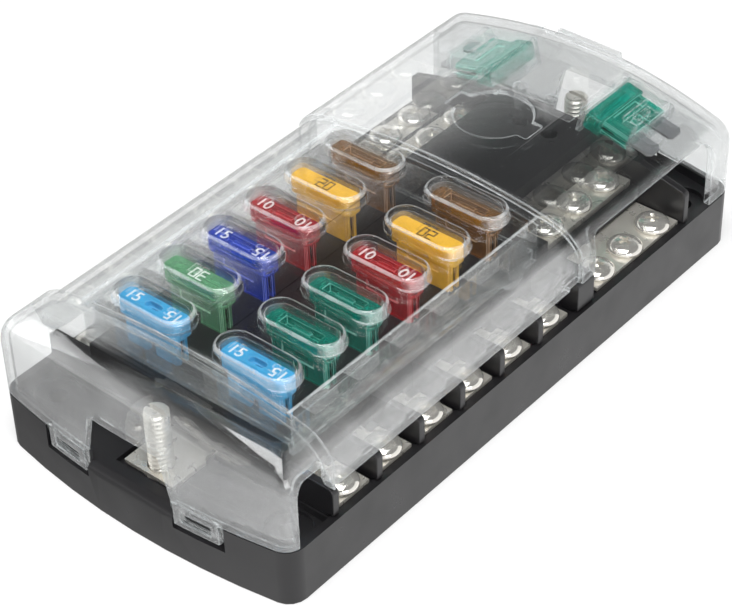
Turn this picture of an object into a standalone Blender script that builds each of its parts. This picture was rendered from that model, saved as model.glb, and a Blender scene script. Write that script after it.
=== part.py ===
"""Twelve-way blade fuse box with a negative bus and a clear lift-off cover.

The box lies along Y with its positive stud at the -Y end and its negative
stud at the +Y end. Z is up and the origin is the middle of the underside.
Two black mouldings, a tray and a carrier, hold the metalwork between them.
The clear cover carries two spare fuses under its roof.
"""

import math

import bmesh
import bpy
import numpy as np
from mathutils import Matrix

# Outer form
CORNER_RADIUS = 0.005
END_BOW_RADIUS = 0.215
GAP = 0.0003
OVERCUT = 0.001
BEYOND = 0.1

# Fuse rows along Y, one column each side of the middle
ROWS = 6
ROW_PITCH = 0.0145
COLUMN_X = 0.0155
BLADE_SPACING = 0.0092

# Zones that with the rows make up the length, and with the columns the width
NEAR_END_LENGTH = 0.02025
BLOCK_LENGTH = 0.0065
TIER_SETBACK = 0.0032
FAR_END_LENGTH = 0.02275
PLATFORM_MARGIN = 0.0045
BAY_DEPTH = 0.0146

# Blade fuse
FUSE_LENGTH = 0.0188
FUSE_WIDTH = 0.0051
FUSE_HEIGHT = 0.0123
FUSE_HEAD_HEIGHT = 0.0046
FUSE_HEAD_RADIUS = 0.0010
FUSE_NECK_SETBACK = 0.0014
FUSE_NECK_WIDTH = 0.0040
FUSE_LEG_HEIGHT = 0.0034
FUSE_LEG_GAP = 0.0026
FUSE_SLOT_LENGTH = 0.0046
FUSE_SLOT_WIDTH = 0.0019
FUSE_SLOT_DEPTH = 0.0014
BLADE_WIDTH = 0.0050
BLADE_THICKNESS = 0.0007
BLADE_LENGTH = 0.0066
BLADE_CHAMFER = 0.0010
BLADE_BELOW_HEAD = 0.0007
LINK_WIDTH = 0.0012

# Tray
TRAY_HEIGHT = 0.0152
TRAY_WALL = 0.0020
TRAY_LEDGE = 0.0005
END_FLOOR_DEPTH = 0.0026
CHANNEL_DEPTH = 0.0039
CORING_ROOF = 0.0038
CORING_RIB = 0.0020
CORING_FROM_LEG = 0.0075
SPINE_EXTRA = 0.0010
MOUNT_HOLE_RADIUS = 0.0024
MOUNT_RECESS_RADIUS = 0.0055
MOUNT_RECESS_DEPTH = 0.0012
MOUNT_FROM_SIDE = 0.0086
MOUNT_FROM_END = 0.0132
SILL_RADIUS = 0.0030
SILL_RUN = 0.0040
SILL_STEPS = 4

# Carrier
PLATFORM_RISE = 0.0110
CARRIER_WALL = 0.0020
DIVIDER_THICKNESS = 0.0020
DIVIDER_RISE = 0.0077
DIVIDER_SETBACK = 0.0009
DIVIDER_CORNER = 0.0015
BLOCK_ABOVE_DIVIDERS = 0.0008
PLATEAU_ABOVE_PLATFORM = 0.0018
PLATEAU_TO_STUD = 0.0077
PLATEAU_ROOF = 0.0050
FIN_ABOVE_DIVIDERS = 0.0018
FIN_RISE = 0.0033
BUS_WAY_ROOM = 0.0004

# Terminals and buses
SHEET = 0.0010
TAB_FROM_PLATFORM = 0.0028
TAB_ROOM = 0.00115
TERMINAL_TAIL_WIDTH = 0.0052
CLIP_LEAF = 0.0008
CLIP_BELOW_ROOF = 0.0004
BUS_STRIP_HALF_WIDTH = 0.0064
STUD_PLATE_HALF = 0.0074
STUD_PLATE_REACH = 0.0042
STUD_FROM_END = 0.0108
STUD_RADIUS = 0.0030
STUD_ABOVE_PLATFORM = 0.0024
STUD_SLOT_WIDTH = 0.0012
STUD_SLOT_DEPTH = 0.0016
STUD_HEAD_FLATS = 0.0080
STUD_HEAD_HEIGHT = 0.0036
PLATE_CLEARANCE = 0.0013
TAIL_FOOT_TO_STUD = 0.0068
TAIL_RAMP = 0.0022
TIER_FROM_PLATFORM_EDGE = 0.0070
TIER_RISE = 0.0068
TIER_EDGE = 0.0002
TIER_END_MARGIN = 0.0008
TIER_SCREWS = 3
TIER_SCREW_PITCH = 0.0116

# Screws
SCREW_SETBACK = 0.0040
SCREW_HEAD_RADIUS = 0.0046
SCREW_HEAD_HEIGHT = 0.0024
SCREW_SHANK_RADIUS = 0.0018
SCREW_SHANK_LENGTH = 0.0066
SCREW_DRIVE_LENGTH = 0.0050
SCREW_DRIVE_WIDTH = 0.0011
SCREW_DRIVE_DEPTH = 0.0012

# Cover
COVER_WALL = 0.0018
CROWN_DROP = 0.0033
SHOULDER = 0.0080
SHOULDER_DROP = 0.0115
MIDDLE_INSET = 0.0012
SECTION_LAP = 0.0015
FRONT_SECTION_PAST_WALL = 0.00075
FAR_SECTION_PAST_BLOCK = 0.00025
PANEL_MARGIN = 0.0011
PANEL_STEP = 0.0004
SKIRT_WALL = 0.0015
SKIRT_ROOM = 0.0004
SKIRT_BURIED = 0.0006
SKIRT_BELOW_PLATFORM = 0.0007
SKIRT_END_ABOVE_PLATFORM = 0.0018
TONGUE_HALF_WIDTH = 0.0044
TONGUE_BELOW_DIVIDERS = 0.0004
TONGUE_OFF_ROW = 0.0018
BUMP_END_ROOM = 0.0013
BUMP_SIDE_ROOM = 0.00175
BUMP_WALL = 0.0013
BUMP_SINK = 0.0032
BUMP_ROOM_SINK = 0.0066
FUSE_HEADROOM = 0.0005
CROWN_ABOVE_BUMPS = 0.0009
FRONT_LEG_LENGTH = 0.0077
FAR_LEG_LENGTH = 0.0145
LEG_THICKNESS = 0.0075
SIDE_OPENING_RISE = 0.0026
FAR_OPENING_RISE = 0.0044
OPENING_CORNER = 0.0030
FRONT_LIP = 0.0032
EXIT_HALF_TOP = 0.0107
EXIT_HALF_BOTTOM = 0.0133
EXIT_BELOW_SHOULDER = 0.0024
TAB_DROP = 0.0056
TAB_WALL = 0.0016
TAB_RIM = 0.00225
TAB_WINDOW_LENGTH = 0.0080
TAB_WINDOW_HEIGHT = 0.0026
CATCH_DEPTH = 0.0006
NOTCH_BEHIND = 0.0004
NOTCH_INNER = 0.0004
NOTCH_OUTER = 0.0013
NOTCH_BELOW = 0.0014
FACE_DEPTH = 0.0080
MEDALLION_FROM_WINDOW = 0.0130
MEDALLION_RADIUS = 0.0100
MEDALLION_BAR_LENGTH = 0.0250
MEDALLION_BAR_WIDTH = 0.0066
MEDALLION_DEPTH = 0.0008
POST_X = 0.0046
POST_FROM_PLATEAU_END = 0.0100
POST_RADIUS = 0.0016
POST_HOLE_ROOM = 0.0005
POST_IN_HOLE = 0.0028
WINDOW_HALF_WIDTH = 0.0128
WINDOW_SLOPE = 0.0018
WINDOW_FROM_END = 0.0327
WINDOW_DEPTH = 0.0012
WINDOW_PAD = 0.0015
GRIP_HALF_WIDTH = 0.0097
GRIP_FROM_END = 0.0068
GRIP_THICKNESS = 0.0020
GRIP_RISE = 0.0005
GRIP_ROOT = 0.0011
SPARE_FROM_END = 0.0188
SPARE_BELOW_ROOF = 0.0055
SPARE_TILT = math.radians(13)
SPARE_RIB = 0.0014
SPARE_LIP = 0.0030
SPARE_BAR_BELOW = 0.0022
SPARE_BAR_ABOVE = 0.0055
SADDLE_LENGTH = 0.0105
SADDLE_WIDTH = 0.0043
SADDLE_WALL = 0.0012

ARC_STEPS = 4
BOW_STEPS = 4
SHOULDER_STEPS = 4
ROUND_SIDES = 16
BUMP_STEPS = 3
SCREW_SIDES = 8

# Derived sizes
TIER_LENGTH = (TIER_SCREWS - 1) * TIER_SCREW_PITCH + 2 * (SCREW_HEAD_RADIUS + TIER_END_MARGIN)
PLATFORM_HALF_WIDTH = COLUMN_X + FUSE_LENGTH / 2 + PLATFORM_MARGIN
WIDTH = 2 * (PLATFORM_HALF_WIDTH + BAY_DEPTH)
NEAR_LENGTH = NEAR_END_LENGTH + ROWS * ROW_PITCH + BLOCK_LENGTH
LENGTH = NEAR_LENGTH + TIER_SETBACK + TIER_LENGTH + GAP + DIVIDER_THICKNESS + FAR_END_LENGTH
HALF_WIDTH = WIDTH / 2
HALF_LENGTH = LENGTH / 2
FUSE_NECK_LENGTH = FUSE_LENGTH - 2 * FUSE_NECK_SETBACK
BLADE_TOP = FUSE_HEIGHT - FUSE_HEAD_HEIGHT - BLADE_BELOW_HEAD
TERMINAL_TAB_WIDTH = ROW_PITCH - DIVIDER_THICKNESS - 2 * TAB_ROOM
INNER_TIER_HALF_WIDTH = SCREW_HEAD_RADIUS + TIER_EDGE
BUMP_LENGTH = FUSE_LENGTH + 2 * (BUMP_WALL + BUMP_END_ROOM)
BUMP_WIDTH = FUSE_WIDTH + 2 * (BUMP_WALL + BUMP_SIDE_ROOM)
CATCH_HEIGHT = TAB_WINDOW_HEIGHT - 4 * GAP
NOTCH_DEPTH = OVERCUT + TAB_WALL + NOTCH_BEHIND
CLIP_GAP = BLADE_THICKNESS / 2 + GAP
SHANK_CLEARANCE = SCREW_SHANK_RADIUS + GAP

# Derived places along Y
BAY_WALL_Y = NEAR_END_LENGTH - HALF_LENGTH
FIRST_ROW_Y = BAY_WALL_Y + ROW_PITCH / 2
CARRIER_FRONT_Y = BAY_WALL_Y - DIVIDER_THICKNESS / 2
BLOCK_START_Y = BAY_WALL_Y + ROWS * ROW_PITCH
BLOCK_END_Y = BLOCK_START_Y + BLOCK_LENGTH
TIER_START_Y = BLOCK_END_Y + TIER_SETBACK
TIER_END_Y = TIER_START_Y + TIER_LENGTH
FIN_Y = TIER_END_Y + GAP + DIVIDER_THICKNESS / 2
STUD_Y = HALF_LENGTH - STUD_FROM_END
MOUNT_Y = HALF_LENGTH - MOUNT_FROM_END
FAR_PLATEAU_END_Y = STUD_Y - PLATEAU_TO_STUD
FRONT_SECTION_END_Y = BAY_WALL_Y - FRONT_SECTION_PAST_WALL
FAR_SECTION_START_Y = BLOCK_START_Y + FAR_SECTION_PAST_BLOCK
LEG_FRONT_Y = FRONT_LEG_LENGTH - HALF_LENGTH
FAR_LEG_Y = HALF_LENGTH - FAR_LEG_LENGTH
POST_Y = FAR_PLATEAU_END_Y - POST_FROM_PLATEAU_END
WINDOW_START_Y = HALF_LENGTH - WINDOW_FROM_END
GRIP_START_Y = HALF_LENGTH - GRIP_FROM_END
MEDALLION_Y = WINDOW_START_Y - MEDALLION_FROM_WINDOW
SPARE_Y = HALF_LENGTH - SPARE_FROM_END

# Derived places along X
TERMINAL_OUTER_X = HALF_WIDTH - TRAY_WALL - GAP
TERMINAL_TAB_INNER_X = PLATFORM_HALF_WIDTH + TAB_FROM_PLATFORM
SCREW_X = TERMINAL_OUTER_X - SCREW_SETBACK
INNER_TIER_X = PLATFORM_HALF_WIDTH - TIER_FROM_PLATFORM_EDGE
MOUNT_X = HALF_WIDTH - MOUNT_FROM_SIDE
DIVIDER_OUTER_X = HALF_WIDTH - DIVIDER_SETBACK
CHANNEL_HALF_WIDTH = COLUMN_X - BLADE_SPACING / 2 + BLADE_WIDTH / 2 + 2 * GAP
SPINE_HALF_WIDTH = CHANNEL_HALF_WIDTH + SPINE_EXTRA
PANEL_HALF_WIDTH = PLATFORM_HALF_WIDTH + PANEL_MARGIN
SKIRT_INNER_X = PLATFORM_HALF_WIDTH + SKIRT_ROOM
TAB_OUTER_X = EXIT_HALF_BOTTOM + TAB_WINDOW_LENGTH + 2 * TAB_RIM
SPARE_HEAD_X = WINDOW_HALF_WIDTH + WINDOW_SLOPE

# Derived heights
END_FLOOR_Z = TRAY_HEIGHT - END_FLOOR_DEPTH
CHANNEL_FLOOR_Z = TRAY_HEIGHT - CHANNEL_DEPTH
CORING_DEPTH = CHANNEL_FLOOR_Z - CORING_ROOF
LEDGE_Z = TRAY_HEIGHT - TRAY_LEDGE
SHEET_Z = LEDGE_Z + GAP
SHEET_TOP_Z = SHEET_Z + SHEET
BUS_Z = CHANNEL_FLOOR_Z + GAP
BUS_TOP_Z = BUS_Z + SHEET
CARRIER_BASE_Z = LEDGE_Z + GAP
PLATFORM_TOP_Z = TRAY_HEIGHT + PLATFORM_RISE
DIVIDER_TOP_Z = TRAY_HEIGHT + DIVIDER_RISE
BLOCK_TOP_Z = DIVIDER_TOP_Z + BLOCK_ABOVE_DIVIDERS
FIN_TOP_Z = DIVIDER_TOP_Z + FIN_ABOVE_DIVIDERS
FAR_PLATEAU_TOP_Z = PLATFORM_TOP_Z + PLATEAU_ABOVE_PLATFORM
CLIP_TOP_Z = PLATFORM_TOP_Z - CARRIER_WALL - CLIP_BELOW_ROOF
INNER_TIER_TOP_Z = TRAY_HEIGHT + TIER_RISE
STUD_TOP_Z = PLATFORM_TOP_Z + STUD_ABOVE_PLATFORM
FUSE_BASE_Z = PLATFORM_TOP_Z + GAP
COVER_BOTTOM_Z = TRAY_HEIGHT + GAP
MIDDLE_BOTTOM_Z = DIVIDER_TOP_Z + GAP
BUMP_ROOM_TOP_Z = FUSE_BASE_Z + FUSE_HEIGHT + FUSE_HEADROOM
BUMP_TOP_Z = BUMP_ROOM_TOP_Z + BUMP_WALL
COVER_TOP_Z = BUMP_TOP_Z + CROWN_ABOVE_BUMPS
SHOULDER_Z = COVER_TOP_Z - SHOULDER_DROP
SIDE_OPENING_TOP_Z = SHOULDER_Z + SIDE_OPENING_RISE
FAR_OPENING_TOP_Z = SHOULDER_Z + FAR_OPENING_RISE
EXIT_TOP_Z = SHOULDER_Z - EXIT_BELOW_SHOULDER
SKIRT_SIDE_BOTTOM_Z = PLATFORM_TOP_Z - SKIRT_BELOW_PLATFORM
SKIRT_END_BOTTOM_Z = PLATFORM_TOP_Z + SKIRT_END_ABOVE_PLATFORM
TONGUE_BOTTOM_Z = DIVIDER_TOP_Z - TONGUE_BELOW_DIVIDERS
POST_BOTTOM_Z = FAR_PLATEAU_TOP_Z - POST_IN_HOLE
WINDOW_FLOOR_Z = COVER_TOP_Z - WINDOW_DEPTH
MEDALLION_FLOOR_Z = COVER_TOP_Z - MEDALLION_DEPTH
GRIP_TOP_Z = COVER_TOP_Z + GRIP_RISE
SPARE_HEAD_Z = COVER_TOP_Z - SPARE_BELOW_ROOF


def clear_scene():
    """Removes every object, so that only the fuse box is left."""
    for existing in list(bpy.data.objects):
        bpy.data.objects.remove(existing, do_unlink=True)


def make_collection(name, hidden=False):
    """A new collection under the scene's own; a hidden one holds cutters."""
    collection = bpy.data.collections.new(name)
    bpy.context.scene.collection.children.link(collection)
    collection.hide_render = hidden
    return collection


def make_material(name, colour, roughness, metallic=0.0, alpha=1.0):
    """A Principled material of one plain colour."""
    material = bpy.data.materials.new(name)
    material.use_nodes = True
    shader = material.node_tree.nodes["Principled BSDF"]
    shader.inputs["Base Color"].default_value = (*colour, 1.0)
    shader.inputs["Roughness"].default_value = roughness
    shader.inputs["Metallic"].default_value = metallic
    shader.inputs["Alpha"].default_value = alpha
    return material


def mesh_object(name, vertices, faces):
    """A mesh object in no collection yet, from points and faces."""
    mesh = bpy.data.meshes.new(name)
    mesh.from_pydata([tuple(map(float, point)) for point in vertices], [], faces)
    mesh.update()
    return bpy.data.objects.new(name, mesh)


def box(name, low, high):
    """A box between two opposite corners."""
    low, high = np.array(low), np.array(high)
    graph = bmesh.new()
    bmesh.ops.create_cube(graph, size=1.0)
    size = Matrix.Diagonal((*(high - low), 1.0))
    bmesh.ops.transform(graph, matrix=size, verts=graph.verts)
    bmesh.ops.translate(graph, vec=(low + high) / 2, verts=graph.verts)
    mesh = bpy.data.meshes.new(name)
    graph.to_mesh(mesh)
    graph.free()
    return bpy.data.objects.new(name, mesh)


def cylinder(name, centre, radius, low, high, sides=ROUND_SIDES, turn=0.0):
    """An upright cylinder at centre (x, y) from z low to z high."""
    graph = bmesh.new()
    bmesh.ops.create_cone(
        graph,
        cap_ends=True,
        segments=sides,
        radius1=radius,
        radius2=radius,
        depth=high - low,
    )
    place = Matrix.Translation((*centre, (low + high) / 2)) @ Matrix.Rotation(turn, 4, "Z")
    bmesh.ops.transform(graph, matrix=place, verts=graph.verts)
    mesh = bpy.data.meshes.new(name)
    graph.to_mesh(mesh)
    graph.free()
    return bpy.data.objects.new(name, mesh)


def plate(name, outline, low, high, axis="Z", holes=()):
    """A flat outline given thickness along an axis, with holes through it.

    The outline's points are (x, y) for Z, (x, z) for Y and (y, z) for X.
    """
    curve = bpy.data.curves.new(name, "CURVE")
    curve.dimensions = "2D"
    curve.fill_mode = "BOTH"
    curve.extrude = (high - low) / 2
    for loop in (outline, *holes):
        spline = curve.splines.new("POLY")
        spline.points.add(len(loop) - 1)
        co = np.c_[loop, np.zeros(len(loop)), np.ones(len(loop))]
        spline.points.foreach_set("co", co.ravel())
        spline.use_cyclic_u = True
    middle = (low + high) / 2
    yz_from_xy = Matrix(((0, 0, 1), (1, 0, 0), (0, 1, 0))).to_4x4()
    turns = {
        "Z": Matrix.Translation((0, 0, middle)),
        "Y": Matrix.Translation((0, middle, 0)) @ Matrix.Rotation(math.pi / 2, 4, "X"),
        "X": Matrix.Translation((middle, 0, 0)) @ yz_from_xy,
    }
    drawn = bpy.data.objects.new(name + "_outline", curve)
    bpy.context.scene.collection.objects.link(drawn)
    graph = bpy.context.evaluated_depsgraph_get()
    mesh = bpy.data.meshes.new_from_object(drawn.evaluated_get(graph))
    bpy.data.objects.remove(drawn)
    bpy.data.curves.remove(curve)
    mesh.name = name
    mesh.transform(turns[axis])
    welded = bmesh.new()
    welded.from_mesh(mesh)
    bmesh.ops.remove_doubles(welded, verts=welded.verts, dist=1e-6)
    bmesh.ops.recalc_face_normals(welded, faces=welded.faces)
    welded.to_mesh(mesh)
    welded.free()
    return bpy.data.objects.new(name, mesh)


def arc(centre, radius, start, end, steps):
    """Points of an arc from angle start to angle end, both kept."""
    angles = np.linspace(start, end, steps + 1)
    return np.c_[centre[0] + radius * np.cos(angles), centre[1] + radius * np.sin(angles)]


def rectangle(x_low, x_high, y_low, y_high):
    """The four corners of an upright rectangle, anticlockwise."""
    return np.array([(x_low, y_low), (x_high, y_low), (x_high, y_high), (x_low, y_high)])


def rounded_rectangle(x_low, x_high, y_low, y_high, radius, steps=3):
    """A rectangle whose four corners are arcs."""
    corners = [
        ((x_high - radius, y_low + radius), -math.pi / 2),
        ((x_high - radius, y_high - radius), 0.0),
        ((x_low + radius, y_high - radius), math.pi / 2),
        ((x_low + radius, y_low + radius), math.pi),
    ]
    return np.vstack([arc(at, radius, a, a + math.pi / 2, steps) for at, a in corners])


def stadium(centre, length, width, steps):
    """A slot outline along X: two half circles joined by straight sides."""
    reach = (length - width) / 2
    right = arc((centre[0] + reach, centre[1]), width / 2, -math.pi / 2, math.pi / 2, steps)
    left = arc((centre[0] - reach, centre[1]), width / 2, math.pi / 2, 1.5 * math.pi, steps)
    return np.vstack([right, left])


def body_outline(inset=0.0, smallest_radius=0.0008):
    """The plan of the box moved in by inset: bowed ends and round corners.

    Each end is an arc about a far centre. The corner arc touches that arc
    and the straight side, so the outline has no kink.
    """
    bow = END_BOW_RADIUS - inset
    corner = max(CORNER_RADIUS - inset, smallest_radius)
    half = HALF_WIDTH - inset
    bow_centre_y = -(HALF_LENGTH - inset) + bow
    corner_x = half - corner
    corner_y = bow_centre_y - math.sqrt((bow - corner) ** 2 - corner_x**2)
    meet = math.asin(corner_x / (bow - corner))
    along_bow = np.linspace(0.0, meet, BOW_STEPS + 1)
    end = np.c_[bow * np.sin(along_bow), bow_centre_y - bow * np.cos(along_bow)]
    around = np.linspace(meet, math.pi / 2, ARC_STEPS + 1)[1:]
    turn = np.c_[corner_x + corner * np.sin(around), corner_y - corner * np.cos(around)]
    quarter = np.vstack([end, turn])
    right = np.vstack([quarter, quarter[::-1] * (1, -1)])
    return np.vstack([right, right[::-1][1:-1] * (-1, 1)])


def crown(x):
    """Height of the cover's roof across its width, highest in the middle."""
    return COVER_TOP_Z - CROWN_DROP * (x / (HALF_WIDTH - SHOULDER)) ** 2


def pillow(name, inset, bottom_z):
    """A closed solid of the cover's outer form moved in by inset.

    Rings of the plan outline climb from the bottom edge through a quarter
    ellipse at the shoulder. The roof curves only across the width, so flat
    strips along Y between points of equal x close it.
    """
    angles = np.linspace(0.0, math.pi / 2, SHOULDER_STEPS + 1)
    rings = [np.c_[body_outline(inset), np.full(len(body_outline(inset)), bottom_z)]]
    for angle in angles:
        ring = body_outline(inset + SHOULDER * (1 - math.cos(angle)), smallest_radius=0.0022)
        rise = (crown(ring[:, 0]) - inset - SHOULDER_Z) * math.sin(angle)
        rings.append(np.c_[ring, SHOULDER_Z + rise])
    count = len(rings[0])
    points = np.vstack(rings)
    faces = [tuple(range(count))[::-1]]
    for level in range(len(rings) - 1):
        base = level * count
        for i in range(count):
            j = (i + 1) % count
            faces.append((base + i, base + j, base + count + j, base + count + i))
    top = (len(rings) - 1) * count
    half = (count + 2) // 2
    for i in range(half // 2 - 1):
        near, outer = i, i + 1
        faces.append(tuple(top + k for k in (near, outer, half - 1 - outer, half - 1 - near)))
        near, outer = -i % count, -(i + 1) % count
        far, far_outer = (half - 1 + i) % count, (half - 1 + i + 1) % count
        faces.append(tuple(top + k for k in (outer, near, far, far_outer)))
    return mesh_object(name, points, faces)


class Workshop:
    """Holds the collections and materials, and joins, cuts and places parts."""

    def __init__(self):
        self.parts = make_collection("fuse_box")
        self.cutters = make_collection("fuse_box_cutters", hidden=True)
        self.spent = 0

    def combine(self, target, operation, pieces):
        """Cuts or joins several pieces in one exact Boolean, then applies it."""
        group = bpy.data.collections.new(f"{target.name}_{self.spent}")
        self.spent += 1
        self.cutters.children.link(group)
        for piece in pieces:
            piece.hide_render = True
            piece.display_type = "WIRE"
            group.objects.link(piece)
        step = target.modifiers.new(operation.title(), "BOOLEAN")
        step.operation = operation
        step.operand_type = "COLLECTION"
        step.collection = group
        step.solver = "EXACT"
        self.apply(target)
        return target

    def cut(self, target, *pieces):
        """Takes the pieces away from the target."""
        return self.combine(target, "DIFFERENCE", pieces)

    def join(self, target, *pieces):
        """Makes the pieces and the target one body."""
        return self.combine(target, "UNION", pieces)

    def keep(self, target, piece):
        """Keeps only what the target shares with the piece."""
        return self.combine(target, "INTERSECT", [piece])

    def apply(self, target):
        """Turns the target's modifiers into its mesh."""
        linked = target.name in bpy.context.scene.collection.objects
        if not linked:
            bpy.context.scene.collection.objects.link(target)
        graph = bpy.context.evaluated_depsgraph_get()
        mesh = bpy.data.meshes.new_from_object(target.evaluated_get(graph))
        target.modifiers.clear()
        target.data = mesh
        if not linked:
            bpy.context.scene.collection.objects.unlink(target)

    def finish(self, obj, name, material, smooth_angle=None):
        """Names a finished piece, dresses it and puts it with the parts."""
        graph = bmesh.new()
        graph.from_mesh(obj.data)
        bmesh.ops.remove_doubles(graph, verts=graph.verts, dist=2e-7)
        bmesh.ops.dissolve_limit(
            graph,
            angle_limit=math.radians(0.05),
            verts=graph.verts,
            edges=graph.edges,
        )
        graph.to_mesh(obj.data)
        graph.free()
        obj.name = name
        obj.data.name = name
        obj.data.materials.clear()
        obj.data.materials.append(material)
        if smooth_angle is not None:
            obj.data.shade_smooth()
            obj.data.set_sharp_from_angle(angle=math.radians(smooth_angle))
        self.parts.objects.link(obj)
        return obj

    def copy_of(self, original, name, material, place):
        """Another piece with its own copy of the mesh, moved into place."""
        mesh = original.data.copy()
        mesh.materials.clear()
        mesh.materials.append(material)
        twin = bpy.data.objects.new(name, mesh)
        mesh.name = name
        twin.matrix_world = place
        self.parts.objects.link(twin)
        return twin


def row_y(row):
    """Middle of a fuse row along Y."""
    return FIRST_ROW_Y + row * ROW_PITCH


def tier_screw_ys():
    """Screw places along each negative plate, centred on it."""
    middle = (TIER_START_Y + TIER_END_Y) / 2
    first = middle - (TIER_SCREWS - 1) * TIER_SCREW_PITCH / 2
    return [first + i * TIER_SCREW_PITCH for i in range(TIER_SCREWS)]


def end_region(sign, start, low, high):
    """The space inside the tray's wall beyond start at one end, as a cutter."""
    outline = body_outline(TRAY_WALL)
    kept = outline[outline[:, 1] * sign > start]
    order = kept[np.argsort(-sign * kept[:, 0])]
    half = HALF_WIDTH - TRAY_WALL
    corners = [(-half * sign, start * sign), (half * sign, start * sign)]
    return plate("bay", np.vstack([corners, order]), low, high)


def tray_coring():
    """Pockets in the underside: two columns each side of a solid spine."""
    cutters = []
    inner = SPINE_HALF_WIDTH
    outer = HALF_WIDTH - TRAY_WALL - CORING_RIB / 2
    for side in (-1, 1):
        for row in range(ROWS):
            low_y = row_y(row) - ROW_PITCH / 2 + CORING_RIB / 2
            high_y = low_y + ROW_PITCH - CORING_RIB
            first_x = SCREW_X - SHANK_CLEARANCE - CORING_RIB
            xs = sorted((side * inner, side * first_x))
            cutters.append(box("coring", (xs[0], low_y, -OVERCUT), (xs[1], high_y, CORING_DEPTH)))
        xs = sorted((side * inner, side * outer))
        low_y = BLOCK_START_Y + CORING_RIB / 2
        high_y = FAR_LEG_Y - CORING_FROM_LEG
        half_y = (low_y + high_y) / 2
        for a, b in ((low_y, half_y - CORING_RIB / 2), (half_y + CORING_RIB / 2, high_y)):
            cutters.append(box("coring", (xs[0], a, -OVERCUT), (xs[1], b, CORING_DEPTH)))
    return cutters


def tab_x_range(side, inner_room=0.0, outer_room=0.0):
    """The span along X of the snap tab on one side, grown by some room."""
    inner = EXIT_HALF_BOTTOM - inner_room
    outer = TAB_OUTER_X + outer_room
    return sorted((side * inner, side * outer))


def face_y(x, sign, inset=0.0):
    """Y of the bowed end face at x, moved in by inset."""
    bow = END_BOW_RADIUS - inset
    return sign * (HALF_LENGTH - inset - bow + math.sqrt(bow**2 - x**2))


def tab_prism(name, side, sign, depth, inset, low, high, room=(0.0, 0.0)):
    """A block that follows the bowed end face between a tab's two edges."""
    x_low, x_high = tab_x_range(side, *room)
    xs = np.linspace(x_low, x_high, 4)
    outer = [(x, face_y(x, sign, inset)) for x in xs]
    inner = [(x, face_y(x, sign, inset + depth)) for x in xs[::-1]]
    return plate(name, np.array(outer + inner), low, high)


def make_tray(shop, black):
    """The lower moulding: rim, end bays, bus channel and mounting corners."""
    tray = plate("tray", body_outline(), 0.0, TRAY_HEIGHT)
    high = TRAY_HEIGHT + OVERCUT
    floor = CHANNEL_FLOOR_Z
    cuts = [plate("ledge", body_outline(TRAY_WALL), LEDGE_Z, high)]
    for sign, start in ((-1, -CARRIER_FRONT_Y + GAP), (1, FIN_Y + DIVIDER_THICKNESS / 2 + GAP)):
        cuts.append(end_region(sign, start, END_FLOOR_Z, high))
    shop.cut(tray, *cuts)
    half = CHANNEL_HALF_WIDTH
    far_row = row_y(ROWS - 1) + TERMINAL_TAIL_WIDTH / 2 + GAP
    plate_half = STUD_PLATE_HALF + PLATE_CLEARANCE
    plate_end = STUD_Y + STUD_PLATE_REACH + PLATE_CLEARANCE
    cuts = [
        box("channel", (-half, CARRIER_FRONT_Y, floor), (half, far_row, high)),
        box("plate_seat", (-plate_half, -plate_end, floor), (plate_half, CARRIER_FRONT_Y + OVERCUT, high)),
        box("plate_seat", (-plate_half, TIER_END_Y + 2 * GAP, floor), (plate_half, plate_end, high)),
    ]
    for sign in (-1, 1):
        cuts.append(cylinder("stud_pocket", (0, sign * STUD_Y), STUD_HEAD_FLATS / math.sqrt(3) + GAP,
                             BUS_Z - 2 * GAP - STUD_HEAD_HEIGHT, floor + OVERCUT, 6, math.pi / 6))
    shop.cut(tray, *cuts)
    holes = []
    for side in (-1, 1):
        ys = [row_y(row) for row in range(ROWS)] + tier_screw_ys()
        for y in ys:
            holes.append(cylinder("screw_hole", (side * SCREW_X, y), SHANK_CLEARANCE,
                                  SHEET_TOP_Z - SCREW_SHANK_LENGTH - GAP, high, 6))
        for sign in (-1, 1):
            at = (side * MOUNT_X, sign * MOUNT_Y)
            holes.append(cylinder("mount_hole", at, MOUNT_HOLE_RADIUS, -OVERCUT, high, 12))
            holes.append(cylinder("mount_recess", at, MOUNT_RECESS_RADIUS,
                                  END_FLOOR_Z - MOUNT_RECESS_DEPTH, high))
    shop.cut(tray, *holes)
    shop.cut(tray, *tray_coring())
    cuts = []
    catches = []
    for sign in (-1, 1):
        for side in (-1, 1):
            low = COVER_BOTTOM_Z - TAB_DROP - NOTCH_BELOW
            room = (NOTCH_INNER, NOTCH_OUTER)
            cuts.append(tab_prism("notch", side, sign, NOTCH_DEPTH, -OVERCUT, low, high, room))
        cuts.append(sill_cut(sign))
    shop.cut(tray, *cuts)
    for sign in (-1, 1):
        for side in (-1, 1):
            catches.append(catch(side, sign))
    shop.join(tray, *catches)
    return shop.finish(tray, "base_tray", black)


def sill_cut(sign):
    """Lowers the end wall under the cover's exit and rounds its outer edge."""
    radius = SILL_RADIUS
    edge = HALF_LENGTH
    round_over = arc((edge - radius, END_FLOOR_Z - radius), radius, math.pi / 2, 0.0, SILL_STEPS)
    start, end, top = edge - radius - SILL_RUN, edge + OVERCUT, TRAY_HEIGHT + OVERCUT
    outline = np.vstack([
        (start, top), (start, END_FLOOR_Z), round_over, (end, END_FLOOR_Z - radius), (end, top),
    ])
    half = EXIT_HALF_BOTTOM - GAP
    return plate("sill", outline * (sign, 1), -half, half, "X")


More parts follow.
